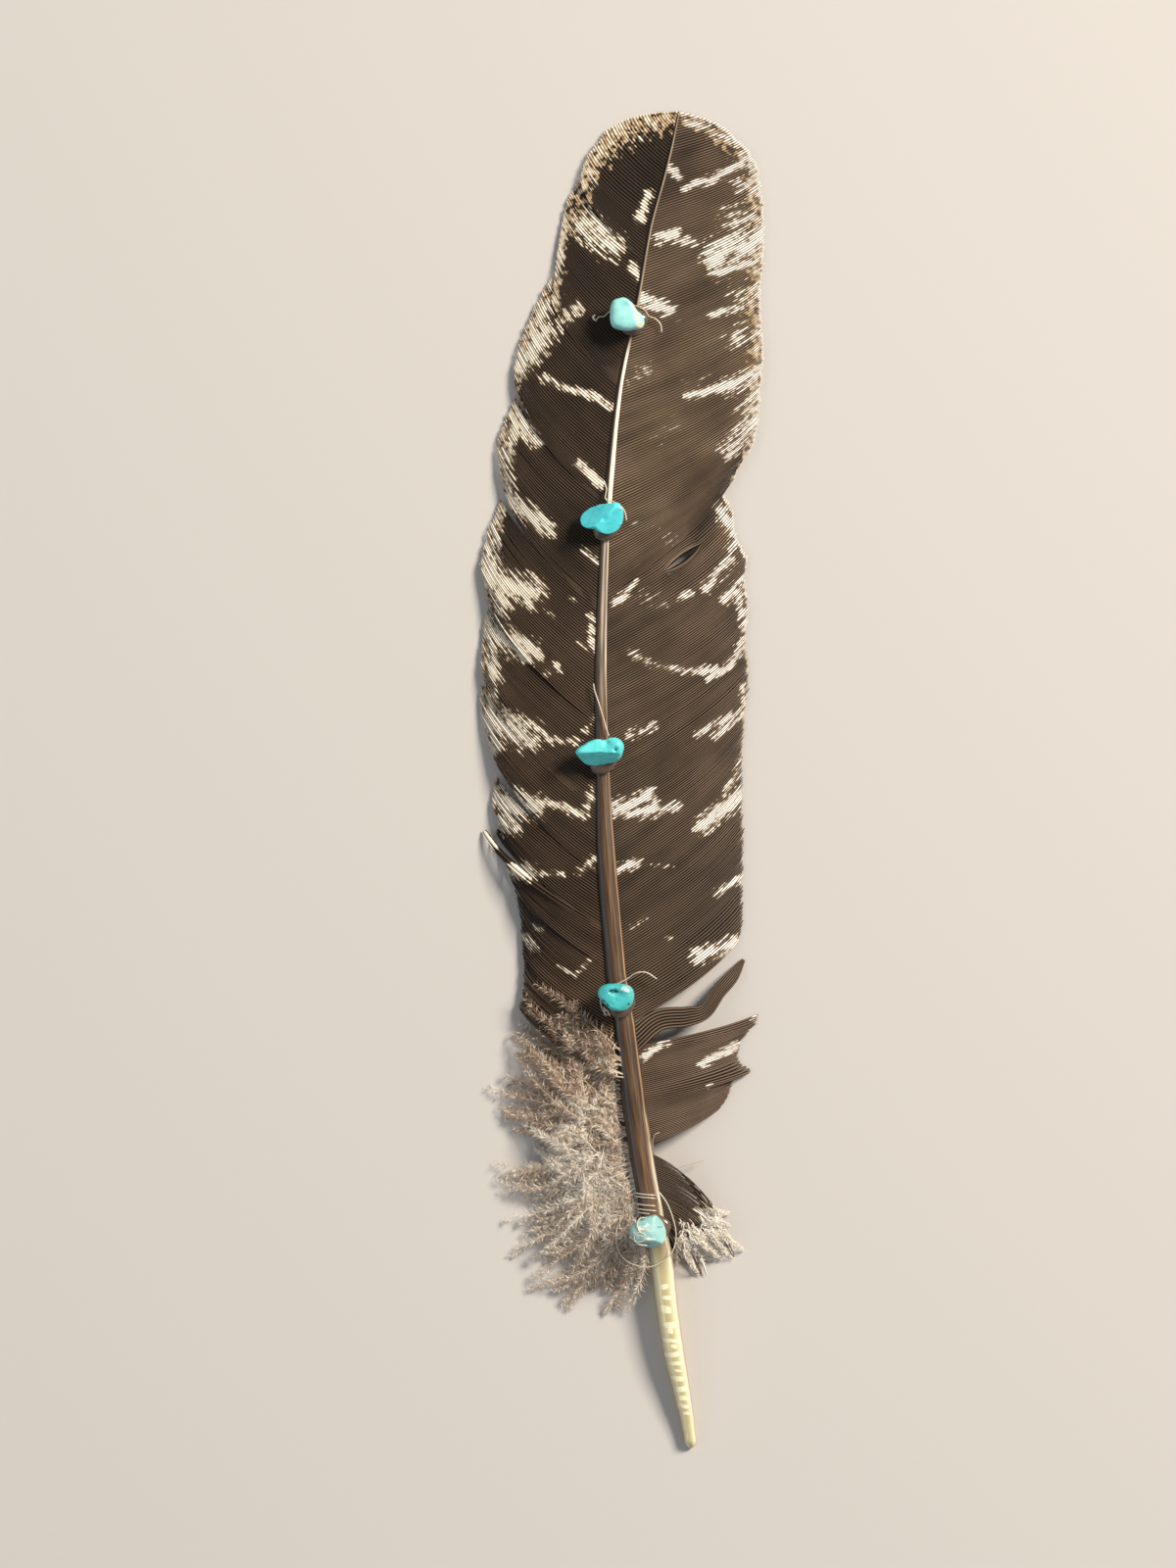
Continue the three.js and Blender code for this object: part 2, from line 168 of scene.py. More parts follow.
def shaft_at(y):
    """Middle x and width of the shaft at heights y, from the smooth curve through its rows."""
    places = np.interp(-np.ravel(y), -SHAFT[:, 1], np.arange(len(SHAFT)))
    found = smooth(SHAFT, places)
    return found[:, 0].reshape(np.shape(y)), found[:, 2].reshape(np.shape(y))


def underside(y):
    """Height of the shaft's underside: a low arch that meets the surface at both ends."""
    return ARCH * (1 - (y / HALF_LENGTH) ** 2)


def depth(y):
    """The shaft is nearly as deep as it is wide."""
    return np.maximum(THINNEST_SHAFT, 0.95 * shaft_at(y)[1])


def piece(name, points, faces, material, replaced, uv=None, values=None):
    """A smooth mesh in place of a solid, riding on the one body: from points in millimetres and
    arrays of faces, with the map and the values that its material reads."""
    mesh = bpy.data.meshes.new(name)
    mesh.from_pydata(np.ascontiguousarray(points * MM), [],
                     [face for rows in faces for face in rows.tolist()])
    if uv is not None:
        corners = np.empty(len(mesh.loops), dtype=np.int32)
        mesh.loops.foreach_get("vertex_index", corners)
        layer = mesh.uv_layers.new(name="lie")
        layer.data.foreach_set("uv", uv[corners].astype(np.float32).ravel())
    for key, value in (values or {}).items():
        made = mesh.attributes.new(key, "FLOAT", "POINT")
        made.data.foreach_set("value", value.astype(np.float32))
    mesh.shade_smooth()
    mesh.materials.append(material)
    made = bpy.data.objects.new(name, mesh)
    bpy.context.collection.objects.link(made)
    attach(made, "root")
    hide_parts(replaced)


def tube_faces(rings, sides):
    """Quads of a tube of rings with equally many sides."""
    ring, side = np.meshgrid(np.arange(rings - 1), np.arange(sides), indexing="ij")
    here, after = ring * sides, (side + 1) % sides
    return np.stack([here + side, here + after, here + sides + after, here + sides + side],
                    axis=-1).reshape(-1, 4)


# The dried steps of pith that show through the quill as pale rungs: height, half width as a
# share of the quill's, half height
RUNGS = ((-113.2, 0.3, 0.6), (-115.6, 0.4, 0.5), (-118.3, 0.5, 0.8), (-121.7, 0.58, 0.6),
         (-123, 0.25, 0.7), (-125.3, 0.7, 0.4), (-126.6, 0.28, 0.5), (-128.4, 0.78, 0.55),
         (-130.4, 0.68, 0.45), (-132, 0.4, 0.3), (-133.9, 0.62, 0.6), (-136.3, 0.62, 0.6),
         (-138.3, 0.6, 0.5), (-140.2, 0.6, 0.4), (-141.8, 0.5, 0.35))


def shaft_mesh(rings=900, sides=40):
    """Rings across the shaft: an oval whose corners fill out where the barbs stand, with a
    shallow groove pressed in on its upper right. The ends close in a small round cap, as long
    as CAP says. Each rung is a squared-off spot."""
    t = np.linspace(0, 1, rings)
    y = HALF_LENGTH - 0.1 - t * (2 * HALF_LENGTH - 0.2)
    x, width = shaft_at(y)
    cap = np.sqrt(np.clip(1 - ((np.abs(y) - (HALF_LENGTH - CAP)) / CAP).clip(0) ** 2, 0.003, 1))
    turn = np.linspace(0, 2 * math.pi, sides, endpoint=False)[None]
    boxy = np.interp(y, [-112, -95], [1, 0.78])[:, None]
    c, s = np.cos(turn), np.sin(turn)
    out = np.sign(c) * np.abs(c) ** boxy
    up = np.sign(s) * np.abs(s) ** boxy
    groove = 0.07 * np.exp(-((turn - 1.1) / 0.12) ** 2) * np.interp(y, [-100, -90], [0, 1])[:, None]
    # The quill is slightly lumpy along its length
    lumps = 1 + 0.02 * np.sin(y * 1.7) * np.sin(y * 0.61) * np.interp(y, [-110, -100], [1, 0])
    half_width = (width / 2 * cap * lumps)[:, None] * (1 - groove)
    half_depth = (depth(y) / 2 * cap)[:, None] * (1 - groove)
    points = np.stack([
        x[:, None] + half_width * out,
        np.repeat(y[:, None], sides, axis=1),
        (underside(y) + depth(y) / 2)[:, None] + half_depth * up,
    ], axis=-1).reshape(-1, 3)
    lie = np.stack(np.broadcast_arrays(turn / (2 * math.pi), y[:, None] / 10), axis=-1)
    rung = np.zeros((rings, sides))
    for i, (place, wide, tall) in enumerate(RUNGS):
        lean = 0.12 * math.sin(i * 2.3)
        slant = 0.3 * c * math.cos(i * 1.7)
        away = ((y[:, None] - place - slant) / tall / 1.1) ** 4 + ((c - lean) / wide / 1.1) ** 4
        rung = np.maximum(rung, np.exp(-away) * ((s - 0.2) / 0.3).clip(0, 1))
    return points, tube_faces(rings, sides)[:, ::-1], lie.reshape(-1, 2), rung.ravel()


# Horn: dark brown keratin with fine lengthwise streaks, turning to a warm brown low on the
# shaft and to the cream, waxy horn of the quill with its pale rungs. The map of the shaft gives
# the share of the way round it, and the height in centimetres.
FINE_RELIEF = 0.2 * MM
horn, tree, shader = finish("horn", {"Roughness": 0.3, "IOR": 1.54})
lie = node(tree, "ShaderNodeUVMap", uv_map="lie").outputs[0]
split = node(tree, "ShaderNodeSeparateXYZ", {"Vector": lie})
height = split.outputs["Y"]
# The streaks are a third of a millimetre wide and 11 mm long
drawn = node(tree, "ShaderNodeVectorMath", {0: lie, 1: (46, 0.9, 1)},
             operation="MULTIPLY").outputs[0]
streaks = node(tree, "ShaderNodeTexNoise", {"Vector": drawn, "Scale": 1.0,
                                            "Detail": 3.0}).outputs["Fac"]
turned = node(tree, "ShaderNodeMath", {0: split.outputs["X"], 1: 2 * math.pi},
              operation="MULTIPLY").outputs[0]
turned = node(tree, "ShaderNodeMath", {0: turned}, operation="COSINE").outputs[0]
across = node(tree, "ShaderNodeMapRange", {"Value": turned, "From Min": -1.0}).outputs[0]
# Six stretches of horn, from one height to another in millimetres, each with its colours from
# the left edge to the right one: a ridge before a taupe side near the tip, a bare white side, a
# grey shine with a fine pale line, streaky brown with a tan line, a paler foot, and the quill.
# Above the quill the dark left edge is painted shade on the flank that faces away from the
# light, the grey shine is a painted highlight, and the buff in the middle is partly a painted
# highlight on the ridge
FLANK_SHADE, UMBER, BROWN, BUFF, TAN = "170f09", "36261a", "4f3b2a", "6e5640", "ab8a66"
TAUPE, BONE, WHITE, CREAM, OLIVE = "96846d", "ecdfc8", "fffaf0", "e6ddb2", "c9c092"
GREY_SHINE = "bdb3a6"
HORN = (
    (118, 98, ((0.0, FLANK_SHADE), (0.5, FLANK_SHADE), (0.62, TAUPE), (0.85, TAUPE), (1.0, UMBER))),
    (95, 58, ((0.0, FLANK_SHADE), (0.46, UMBER), (0.56, BONE), (0.88, WHITE), (1.0, TAUPE))),
    (52, 30, ((0.0, FLANK_SHADE), (0.28, UMBER), (0.43, BUFF), (0.54, GREY_SHINE), (0.66, BROWN),
              (0.78, TAUPE), (0.86, BONE), (0.93, BROWN), (1.0, UMBER))),
    (14, -72, ((0.0, FLANK_SHADE), (0.33, UMBER), (0.42, BROWN), (0.57, BUFF), (0.71, BROWN),
               (0.8, BROWN), (0.86, TAN), (0.91, BROWN), (1.0, UMBER))),
    (-90, -101, ((0.0, UMBER), (0.34, BROWN), (0.52, BUFF), (0.74, BUFF), (0.86, BONE),
                (1.0, BUFF))),
    (-111, -150, ((0.0, TAUPE), (0.14, CREAM), (0.3, CREAM), (0.42, OLIVE), (0.6, OLIVE),
                  (0.78, CREAM), (0.9, BONE), (1.0, TAUPE))),
)
brown = node(tree, "ShaderNodeValToRGB", {"Fac": across}, stops=HORN[0][2]).outputs["Color"]
for (_, above, _), (below, _, stops) in zip(HORN, HORN[1:]):
    passed = node(tree, "ShaderNodeMapRange", {"Value": height, "From Min": above / 10,
                                               "From Max": below / 10}).outputs[0]
    lower = node(tree, "ShaderNodeValToRGB", {"Fac": across}, stops=stops).outputs["Color"]
    brown = node(tree, "ShaderNodeMix", {"Factor": passed, "A": brown, "B": lower},
                 data_type="RGBA").outputs["Result"]
# The quill has no streaks
quill_share = node(tree, "ShaderNodeMapRange", {"Value": height, "From Min": -9.8,
                                                "From Max": -10.8}).outputs[0]
streak_light = node(tree, "ShaderNodeMapRange", {
    "Value": streaks, "From Min": 0.3, "From Max": 0.7, "To Min": 0.35,
    "To Max": 1.6}).outputs[0]
streak_light = node(tree, "ShaderNodeMix", {"Factor": quill_share, "A": streak_light, "B": 1.0},
                    data_type="FLOAT").outputs["Result"]
brown = node(tree, "ShaderNodeVectorMath", {0: brown, "Scale": streak_light},
             operation="SCALE").outputs[0]
# The rungs come apart into irregular blots of one to two millimetres
drawn = node(tree, "ShaderNodeVectorMath", {0: lie, 1: (9, 9, 1)},
             operation="MULTIPLY").outputs[0]
blots = node(tree, "ShaderNodeTexNoise", {"Vector": drawn, "Scale": 1.0,
                                          "Detail": 2.0}).outputs["Fac"]
rung = node(tree, "ShaderNodeAttribute", attribute_name="rung").outputs["Fac"]
raised = node(tree, "ShaderNodeMath", {0: blots, 1: 0.9, 2: rung},
              operation="MULTIPLY_ADD").outputs[0]
mask = node(tree, "ShaderNodeMapRange", {"Value": raised, "From Min": 0.85,
                                         "From Max": 1.05, "To Max": 0.85}).outputs[0]
colour = node(tree, "ShaderNodeMix", {"Factor": mask, "A": brown, "B": linear("fffbd6")},
              data_type="RGBA").outputs["Result"]
tree.links.new(colour, shader.inputs["Base Color"])
ridges = node(tree, "ShaderNodeBump", {"Height": streaks, "Strength": 0.3,
                                       "Distance": FINE_RELIEF})
tree.links.new(ridges.outputs[0], shader.inputs["Normal"])

points, faces, lie, rung = shaft_mesh()
piece("shaft", points, [faces], horn, "feather", uv=lie, values={"rung": rung})


# Vanes: each side of the shaft carries about 300 barbs, stiff tapering blades of keratin hooked
# into a sheet. Here each is a closed three-sided blade on its own curve. The left vane has come
# apart into ten lobes that lap over one another like shingles, the upper over the lower.

# The spacing is that of the roots on the shaft. VANE is the height of the vane's edge, ATTACH
# the height of the roots as a share of the shaft's depth, DROOP the power by which a barb sinks,
# and LAP how much higher a lobe's last barbs lie. A blade's half width is a share of the way to
# the next blade, and its ridge stands up by a share of that half width. GROUP is how many barbs
# cling together, a barb as long as USUAL_BARB has its end astray by fray, and CLEAR is the least
# height of anything over the surface.
LEFT_SPACING = 0.68
RIGHT_SPACING = 0.64
FAN_SPACING = 0.42
VANE = 0.8
ATTACH = 0.8
DROOP = 1.5
LAP = 1.2
BLADE_HALF = 0.57
BLADE_RIDGE = 0.34
GROUP = 7
USUAL_BARB = 30
CLEAR = 0.05
# The lobes, from the tip down: each barb's end as x, y and the height of its root
LEFT_LOBES = [np.array(rows) for rows in (
    [(12.4, 149.9, 149.9), (4.7, 149.3, 142), (-2.3, 146.8, 134.3), (-5.4, 143.6, 130.3),
     (-8.5, 139.6, 125.3), (-9.8, 133.9, 116)],
    [(-9.8, 135, 119.6), (-13.1, 128.2, 111.2), (-14.8, 118.7, 100.2), (-16.2, 107.5, 87.9)],
    [(-16.4, 112.5, 93.2), (-21.9, 101.5, 78.9), (-24.5, 91.5, 67), (-23.4, 85.5, 61)],
    [(-24.3, 85.7, 63.2), (-28.3, 75.8, 49), (-26.9, 65.2, 39), (-26.3, 63.2, 37.3)],
    [(-27.6, 62.8, 39), (-30.5, 56, 27.6), (-32, 48, 18), (-30.5, 40.6, 11.8)],
    [(-30.7, 39, 12.7), (-32, 28.3, -1.4), (-31.1, 21.4, -8)],
    [(-31.6, 22.8, -5), (-32, 16.6, -12), (-29.8, 6.5, -19.9), (-27.6, 2.8, -22.6)],
    [(-28.7, 1.2, -21.2), (-29.6, -4.5, -28.5), (-27.4, -12.4, -35.1)],
    [(-28.5, -11.1, -32.9), (-32, -11.8, -34), (-28.3, -15.1, -36.6), (-25.4, -22.3, -42.8)],
    [(-24.8, -21.2, -40.6), (-23.2, -31.4, -50.3), (-22.6, -45.4, -63), (-23.4, -51.1, -67.9)],
)]
LEFT_BEND = (0.8, 0.55)
# Pale bars on the left vane: from x, y to x, y, then width and strength
LEFT_MARKS = (
    (0.8, 142, 6.9, 146.8, 2.2, 0.3), (-6.7, 138.7, 0.8, 146.8, 4.8, 0.33),
    (-8.5, 134.3, -5.4, 142, 4, 0.38), (-8.9, 124.5, -3, 119.6, 5.2, 0.85),
    (3.4, 125.5, 5.6, 131, 2, 0.9), (1.9, 115, 3.4, 112.3, 1.8, 0.9),
    (-14.2, 102.4, -10.7, 105.5, 2.6, 0.7), (-13.8, 126.2, -15.5, 112.3, 2.2, 0.75),
    (-15.5, 120, -16.8, 109, 1.8, 0.7), (-21.2, 99.1, -16.8, 106.8, 3.5, 0.8),
    (-23, 93.2, -17.7, 100.2, 4.8, 1), (-17.7, 89.9, -13.3, 87.5, 1.8, 0.8),
    (-13.3, 87.5, -8.2, 86.3, 1.5, 0.9), (-8.2, 86.1, -2.5, 83.7, 1.8, 0.75),
    (-24.3, 82.6, -19.7, 74.9, 2.6, 0.9), (-27.4, 73.4, -25.6, 65, 2.6, 0.75),
    (-26.5, 71.6, -23.9, 80.4, 2.6, 0.8), (-10, 70.7, -5.4, 66.1, 1.8, 1),
    (-25.6, 63.2, -16.8, 55.8, 2.9, 0.95), (-30, 55.1, -27.4, 60.6, 2.2, 0.8),
    (-30.9, 49.2, -28.7, 55.1, 2.6, 0.8), (-30.7, 45.2, -21, 41.7, 5.2, 0.95),
    (-30, 48.5, -26.7, 38.6, 3.5, 0.9), (-12.4, 40.4, -11.1, 39.9, 0.9, 0.5),
    (-8.7, 51.4, -6, 48.5, 1.5, 0.5), (-17.5, 37.7, -15.9, 36.4, 1.1, 0.6),
    (-7.4, 36.4, -6.5, 28.5, 1.6, 0.8), (-10.2, 30.9, -7.6, 28.9, 1.1, 0.5),
    (-30.7, 33.1, -21.2, 28.5, 4.4, 0.95), (-30, 36.4, -28.9, 23.2, 3.1, 0.8),
    (-15.5, 25.9, -14.2, 24.5, 1.3, 0.8), (-17.7, 23.2, -16.8, 24.3, 1.1, 0.6),
    (-30.7, 13.3, -21.7, 9.6, 5.3, 0.95), (-30, 18.8, -28.9, 6.7, 2.6, 0.8),
    (-21.2, 12.7, -16.2, 8.7, 1.8, 0.8), (-16.2, 8.7, -10.2, 8.5, 1.5, 0.7),
    (-8.5, 11.1, -6.7, 13.3, 1.8, 0.5), (-28.9, -4.3, -20.1, -6.3, 4.8, 0.95),
    (-27.8, -8.7, -24.5, -11.1, 2.6, 0.9), (-19.7, -5, -13.5, -5.8, 1.5, 0.85),
    (-13.5, -6.3, -8.5, -8, 1.8, 0.85), (-8.5, -7.2, -6.7, -2.3, 2, 0.75),
    (-31.6, -12.2, -28.3, -15.1, 1.5, 1), (-24.3, -20.4, -21.2, -20.8, 3.1, 0.95),
    (-21, -20.8, -13.5, -21.2, 1.3, 0.7), (-9.8, -20.4, -7.2, -18.1, 2, 0.7),
    (-21.9, -35.8, -20.1, -37.5, 2, 0.8), (-19.7, -32.9, -18.4, -33.8, 1.3, 0.7),
    (-14.8, -41.5, -10.7, -43.7, 0.9, 0.7), (-10.2, -42.8, -6.7, -39.5, 0.9, 0.6),
)


def pale_share(x, y, marks):
    """How pale the barbs are at x, y: the strongest of the bars there, each full on its middle
    line, half at 1.1 times its half width from it and faded out at 2.1 times."""
    share = np.zeros_like(x)
    for x0, y0, x1, y1, width, strength in marks:
        way = np.array((x1 - x0, y1 - y0))
        t = ((x - x0) * way[0] + (y - y0) * way[1]) / (way @ way)
        t = t.clip(0, 1)
        away = np.hypot(x - x0 - t * way[0], y - y0 - t * way[1]) / (width / 2)
        share = np.maximum(share, strength * (1.05 - 0.5 * away).clip(0, 1))
    return share


def repeated(faces, count, points):
    """The faces of many equal parts that follow one another, with so many points in each."""
    return (faces + (np.arange(count) * points)[:, None, None]).reshape(-1, faces.shape[1])


def blades(mid, across, half, z, fall):
    """Closed blades along their middle lines: at each place a left edge, a ridge and a right
    edge, with the edges lower than the ridge by fall. Returns the points and the faces."""
    side = across * half[..., None]
    low = (z - fall)[..., None]
    left = np.concatenate([mid + side, low], axis=2)
    right = np.concatenate([mid - side, low], axis=2)
    points = np.stack([left, np.concatenate([mid, z[..., None]], axis=2), right], axis=2)
    count, steps = z.shape
    return points, repeated(tube_faces(steps, 3), count, steps * 3)


def lie_map(reach, seed):
    """The blades' map: the way along each in millimetres, and its own number, with half a
    number more and less on its two edges."""
    number = np.arange(len(reach))[:, None, None] + np.array((0.5, 0, -0.5)) + seed * 100
    return np.stack(np.broadcast_arrays(reach[..., None], number), axis=-1).reshape(-1, 2)


def unit(rows):
    """Rows of directions, each one long."""
    return rows / np.maximum(np.linalg.norm(rows, axis=-1, keepdims=True), 1e-9)


def beside(way):
    """Flat directions turned left by a quarter turn."""
    return np.stack([-way[..., 1], way[..., 0]], axis=-1)


def bowed(start, pull, end, v):
    """Places at the shares v of curves that leave start and reach end, drawn towards pull."""
    return ((1 - v) ** 2 * start[:, None] + 2 * v * (1 - v) * pull[:, None]
            + v ** 2 * end[:, None])


def barbs(edge, bend, seed, marks, rim, lap=0.0, steps=48, spacing=RIGHT_SPACING, fray=0.35,
          wave=0.0, split=None, dark_and_painted_shade=(), under=0.0):
    """The barbs of one lobe as closed three-sided blades. A barb runs from the shaft to the
    lobe's edge on a curve with one middle point, and sinks from its root to the surface as
    1 - u to the power of DROOP. Its width is the distance to the next barb. Barbs cling
    together in small groups, so their ends wander and lift in groups as well as singly. Barbs
    are pushed off both sides of a split, given as x, y to x, y and its width. They are darker
    in bars given as the marks are, partly the vane's own darker colour and partly painted shade
    under a lobe's edge and in folds, and in the rows under the lobe above, as painted shade of
    its lifted edge."""
    chance = np.random.default_rng(seed)
    count = max(4, round((edge[0, 2] - edge[-1, 2]) / spacing))
    root = np.linspace(edge[0, 2], edge[-1, 2], count)
    places = np.interp(-root, -edge[:, 2], np.arange(len(edge)))
    end = smooth(edge[:, :2], places)
    start = np.stack([shaft_at(root)[0], root], axis=-1)
    group = smooth(chance.normal(0, 1, (count // GROUP + 4, 2)), 1 + np.arange(count) / GROUP)
    wander = group[:, 0] * 0.4 + chance.normal(0, 0.5, count)
    end = end + (end - start) * (wander * fray / USUAL_BARB)[:, None]
    pull = start + (end - start) * np.array(bend)
    u = np.linspace(0, 1, steps) ** 0.9
    mid = bowed(start, pull, end, u[None, :, None])
    across = beside(unit(np.gradient(mid, axis=1)))
    if split:
        x0, y0, x1, y1, width = split
        along = ((mid[..., 0] - x0) * (x1 - x0) + (mid[..., 1] - y0) * (y1 - y0)) / (
            (x1 - x0) ** 2 + (y1 - y0) ** 2)
        off = ((mid[..., 1] - y0) * (x1 - x0) - (mid[..., 0] - x0) * (y1 - y0)) / math.hypot(
            x1 - x0, y1 - y0)
        side = np.sign(np.mean(off * (np.abs(along - 0.5) < 0.4), axis=1, keepdims=True))
        push = width / 2 * np.exp(-(off / 2.4) ** 2) * np.sin(math.pi * along.clip(0, 1)) ** 0.7
        mid = mid + across * (side * push)[..., None]
    apart = np.abs((np.gradient(mid, axis=0) * across).sum(axis=2))
    taper = np.interp(u, [0, 0.97, 1], [1, 0.85, 0.3])
    half = (BLADE_HALF * apart).clip(0.1, 0.7) * taper
    high = np.maximum(VANE, underside(root) + ATTACH * depth(root))[:, None]
    row = np.linspace(0, 1, count)[:, None]
    z = VANE + (high - VANE) * (1 - u ** DROOP) + lap * row ** 2 * u ** 1.5
    lift = group[:, 1:] * wave * np.sin(math.pi * u ** 0.8) + chance.normal(0, 0.035, (count, 1)) * u
    z = z + lift
    points, faces = blades(mid, across, half, z, BLADE_RIDGE * half)
    points[..., 2] = points[..., 2].clip(CLEAR)
    reach = np.cumsum(np.linalg.norm(np.diff(mid, axis=1, prepend=mid[:, :1]), axis=2), axis=1)
    x, y = points[..., 0], points[..., 1]
    # Painted shade: the first rows of a lobe, under the lifted edge of the lobe above, are darker
    shaded = (under * np.exp(-row / 0.09) * u)[..., None]
    return {
        "points": points.reshape(-1, 3),
        "faces": faces,
        "lie": lie_map(reach, seed),
        "pale": pale_share(x, y, marks).ravel(),
        "rim": (rim(y, (reach[:, -1:] - reach)[..., None]) + 0 * x).ravel(),
        "dark_and_painted_shade": np.maximum(pale_share(x, y, dark_and_painted_shade), shaded).ravel(),
    }


def join(parts):
    """Points and faces of several meshes as one."""
    shift = np.cumsum([0] + [len(points) for points, _ in parts[:-1]])
    return (np.concatenate([points for points, _ in parts]),
            np.concatenate([faces + s for (_, faces), s in zip(parts, shift)]))


def vane(name, parts, material):
    """One piece from several lobes."""
    points, faces = join([(part["points"], part["faces"]) for part in parts])
    values = {key: np.concatenate([part[key] for part in parts])
              for key in ("lie", "pale", "rim", "dark_and_painted_shade")}
    piece(name, points, [faces], material, "feather", uv=values.pop("lie"), values=values)


def barb_finish(name, web, line, cream, warm, shades):
    """Feather keratin, matt with a faint sheen: the shaft of each barb is a thin light line
    in its darker web, partly the barbs' own colour and partly a painted highlight on each ridge
    with painted shade in the grooves between barbs, and pale parts come and go barb by barb, as
    pigment was laid down while each barb grew. The colours are those of the web, the line, the
    pale parts and their tan fringe; shades are (height in metres, brightness) up the vane."""
    made, tree, shader = finish(name, {"Roughness": 0.5, "IOR": 1.5, "Specular IOR Level": 0.22,
                                       "Sheen Weight": 0.02})
    lie = node(tree, "ShaderNodeUVMap", uv_map="lie").outputs[0]
    split = node(tree, "ShaderNodeSeparateXYZ", {"Vector": lie})
    number = node(tree, "ShaderNodeMath", {0: split.outputs["Y"]}, operation="ROUND").outputs[0]
    off = node(tree, "ShaderNodeMath", {0: split.outputs["Y"], 1: number},
               operation="SUBTRACT").outputs[0]
    off = node(tree, "ShaderNodeMath", {0: off}, operation="ABSOLUTE").outputs[0]
    # The middle of each barb takes the line colour and its edges towards the grooves the web colour:
    # partly the barbs' own colour, partly a painted highlight on each ridge and painted shade between
    # the barbs
    deep = node(tree, "ShaderNodeMapRange", {"Value": off, "From Min": 0.04,
                                             "From Max": 0.32}).outputs[0]
    brown = node(tree, "ShaderNodeMix", {"Factor": deep, "A": linear(line), "B": linear(web)},
                 data_type="RGBA").outputs["Result"]
    # Patches some 10 mm wide of the keratin's own tone, and streaks 20 mm long of a few barbs
    # that lie alike, lightened and darkened as painted sheen
    where = node(tree, "ShaderNodeTexCoord").outputs["Object"]
    near = node(tree, "ShaderNodeTexNoise", {"Vector": where, "Scale": 90.0, "Detail": 2.0})
    drawn = node(tree, "ShaderNodeVectorMath", {0: lie, 1: (0.05, 0.22, 1)},
                 operation="MULTIPLY").outputs[0]
    painted_sheen_streak = node(tree, "ShaderNodeTexNoise", {"Vector": drawn, "Scale": 1.0, "Detail": 2.0})
    tone_and_sheen = node(tree, "ShaderNodeMath", {0: near.outputs["Fac"], 1: painted_sheen_streak.outputs["Fac"]},
                   operation="ADD").outputs[0]
    tone_and_sheen = node(tree, "ShaderNodeMapRange", {"Value": tone_and_sheen, "From Min": 0.75,
                                                "From Max": 1.25, "To Min": 0.68,
                                                "To Max": 1.32}).outputs[0]
    place = node(tree, "ShaderNodeSeparateXYZ", {"Vector": where}).outputs["Y"]
    half = HALF_LENGTH * MM
    place = node(tree, "ShaderNodeMapRange", {"Value": place, "From Min": -half,
                                              "From Max": half}).outputs[0]
    curve = node(tree, "ShaderNodeFloatCurve", {"Value": place})
    knots = curve.mapping.curves[0].points
    for i, (height, shade) in enumerate(shades):
        knot = knots[i] if i < 2 else knots.new(0, 0)
        knot.location = ((height + half) / (2 * half), shade / 2)
    curve.mapping.update()
    shade = node(tree, "ShaderNodeMath", {0: tone_and_sheen, 1: curve.outputs[0]},
                 operation="MULTIPLY").outputs[0]
    # Darker in the bars and rows given to the barbs: partly the vane's own darker colour, partly
    # painted shade under the lobes' edges and in the folds
    dark_and_painted_shade = node(tree, "ShaderNodeAttribute", attribute_name="dark_and_painted_shade").outputs["Fac"]
    dark_and_painted_shade = node(tree, "ShaderNodeMapRange", {"Value": dark_and_painted_shade, "To Min": 1.6,
                                             "To Max": 0.45}).outputs[0]
    shade = node(tree, "ShaderNodeMath", {0: shade, 1: dark_and_painted_shade}, operation="MULTIPLY").outputs[0]
    brown = node(tree, "ShaderNodeVectorMath", {0: brown, "Scale": shade},
                 operation="SCALE").outputs[0]
    # Each barb has its own pale stretches, 4 to 8 mm long, and nicks of about a millimetre
    reach = node(tree, "ShaderNodeMath", {0: split.outputs["X"], 1: 0.2},
                 operation="MULTIPLY").outputs[0]
    other = node(tree, "ShaderNodeMath", {0: number, 1: 5.37}, operation="MULTIPLY").outputs[0]
    own = node(tree, "ShaderNodeCombineXYZ", {"X": reach, "Y": other}).outputs[0]
    long = node(tree, "ShaderNodeTexNoise", {"Vector": own, "Scale": 1.0, "Detail": 0.0})
    nicks = node(tree, "ShaderNodeTexNoise", {"Vector": own, "Scale": 4.3, "Detail": 1.0})
    rise = node(tree, "ShaderNodeMath", {0: nicks.outputs["Fac"], 1: 0.75,
                                         2: long.outputs["Fac"]}, operation="MULTIPLY_ADD")
    share = node(tree, "ShaderNodeAttribute", attribute_name="pale").outputs["Fac"]
    halo = node(tree, "ShaderNodeMapRange", {"Value": share, "From Min": 0.05,
                                             "From Max": 0.6, "To Max": 0.4}).outputs[0]
    halo = node(tree, "ShaderNodeMath", {0: halo, 1: deep}, operation="SUBTRACT",
                use_clamp=True).outputs[0]
    brown = node(tree, "ShaderNodeMix", {"Factor": halo, "A": brown, "B": linear(warm)},
                 data_type="RGBA").outputs["Result"]
    rise = node(tree, "ShaderNodeMath", {0: rise.outputs[0], 1: 1.5, 2: share},
                operation="MULTIPLY_ADD").outputs[0]
    # A pale stretch begins and ends as a fine line in the middle of its barb
    rise = node(tree, "ShaderNodeMath", {0: off, 1: -0.9, 2: rise},
                operation="MULTIPLY_ADD").outputs[0]
    mask = node(tree, "ShaderNodeMapRange", {"Value": rise, "From Min": 1.6,
                                             "From Max": 1.7}).outputs[0]
    some = node(tree, "ShaderNodeMapRange", {"Value": share, "From Min": 0.08,
                                             "From Max": 0.2}).outputs[0]
    mask = node(tree, "ShaderNodeMath", {0: mask, 1: some}, operation="MULTIPLY").outputs[0]
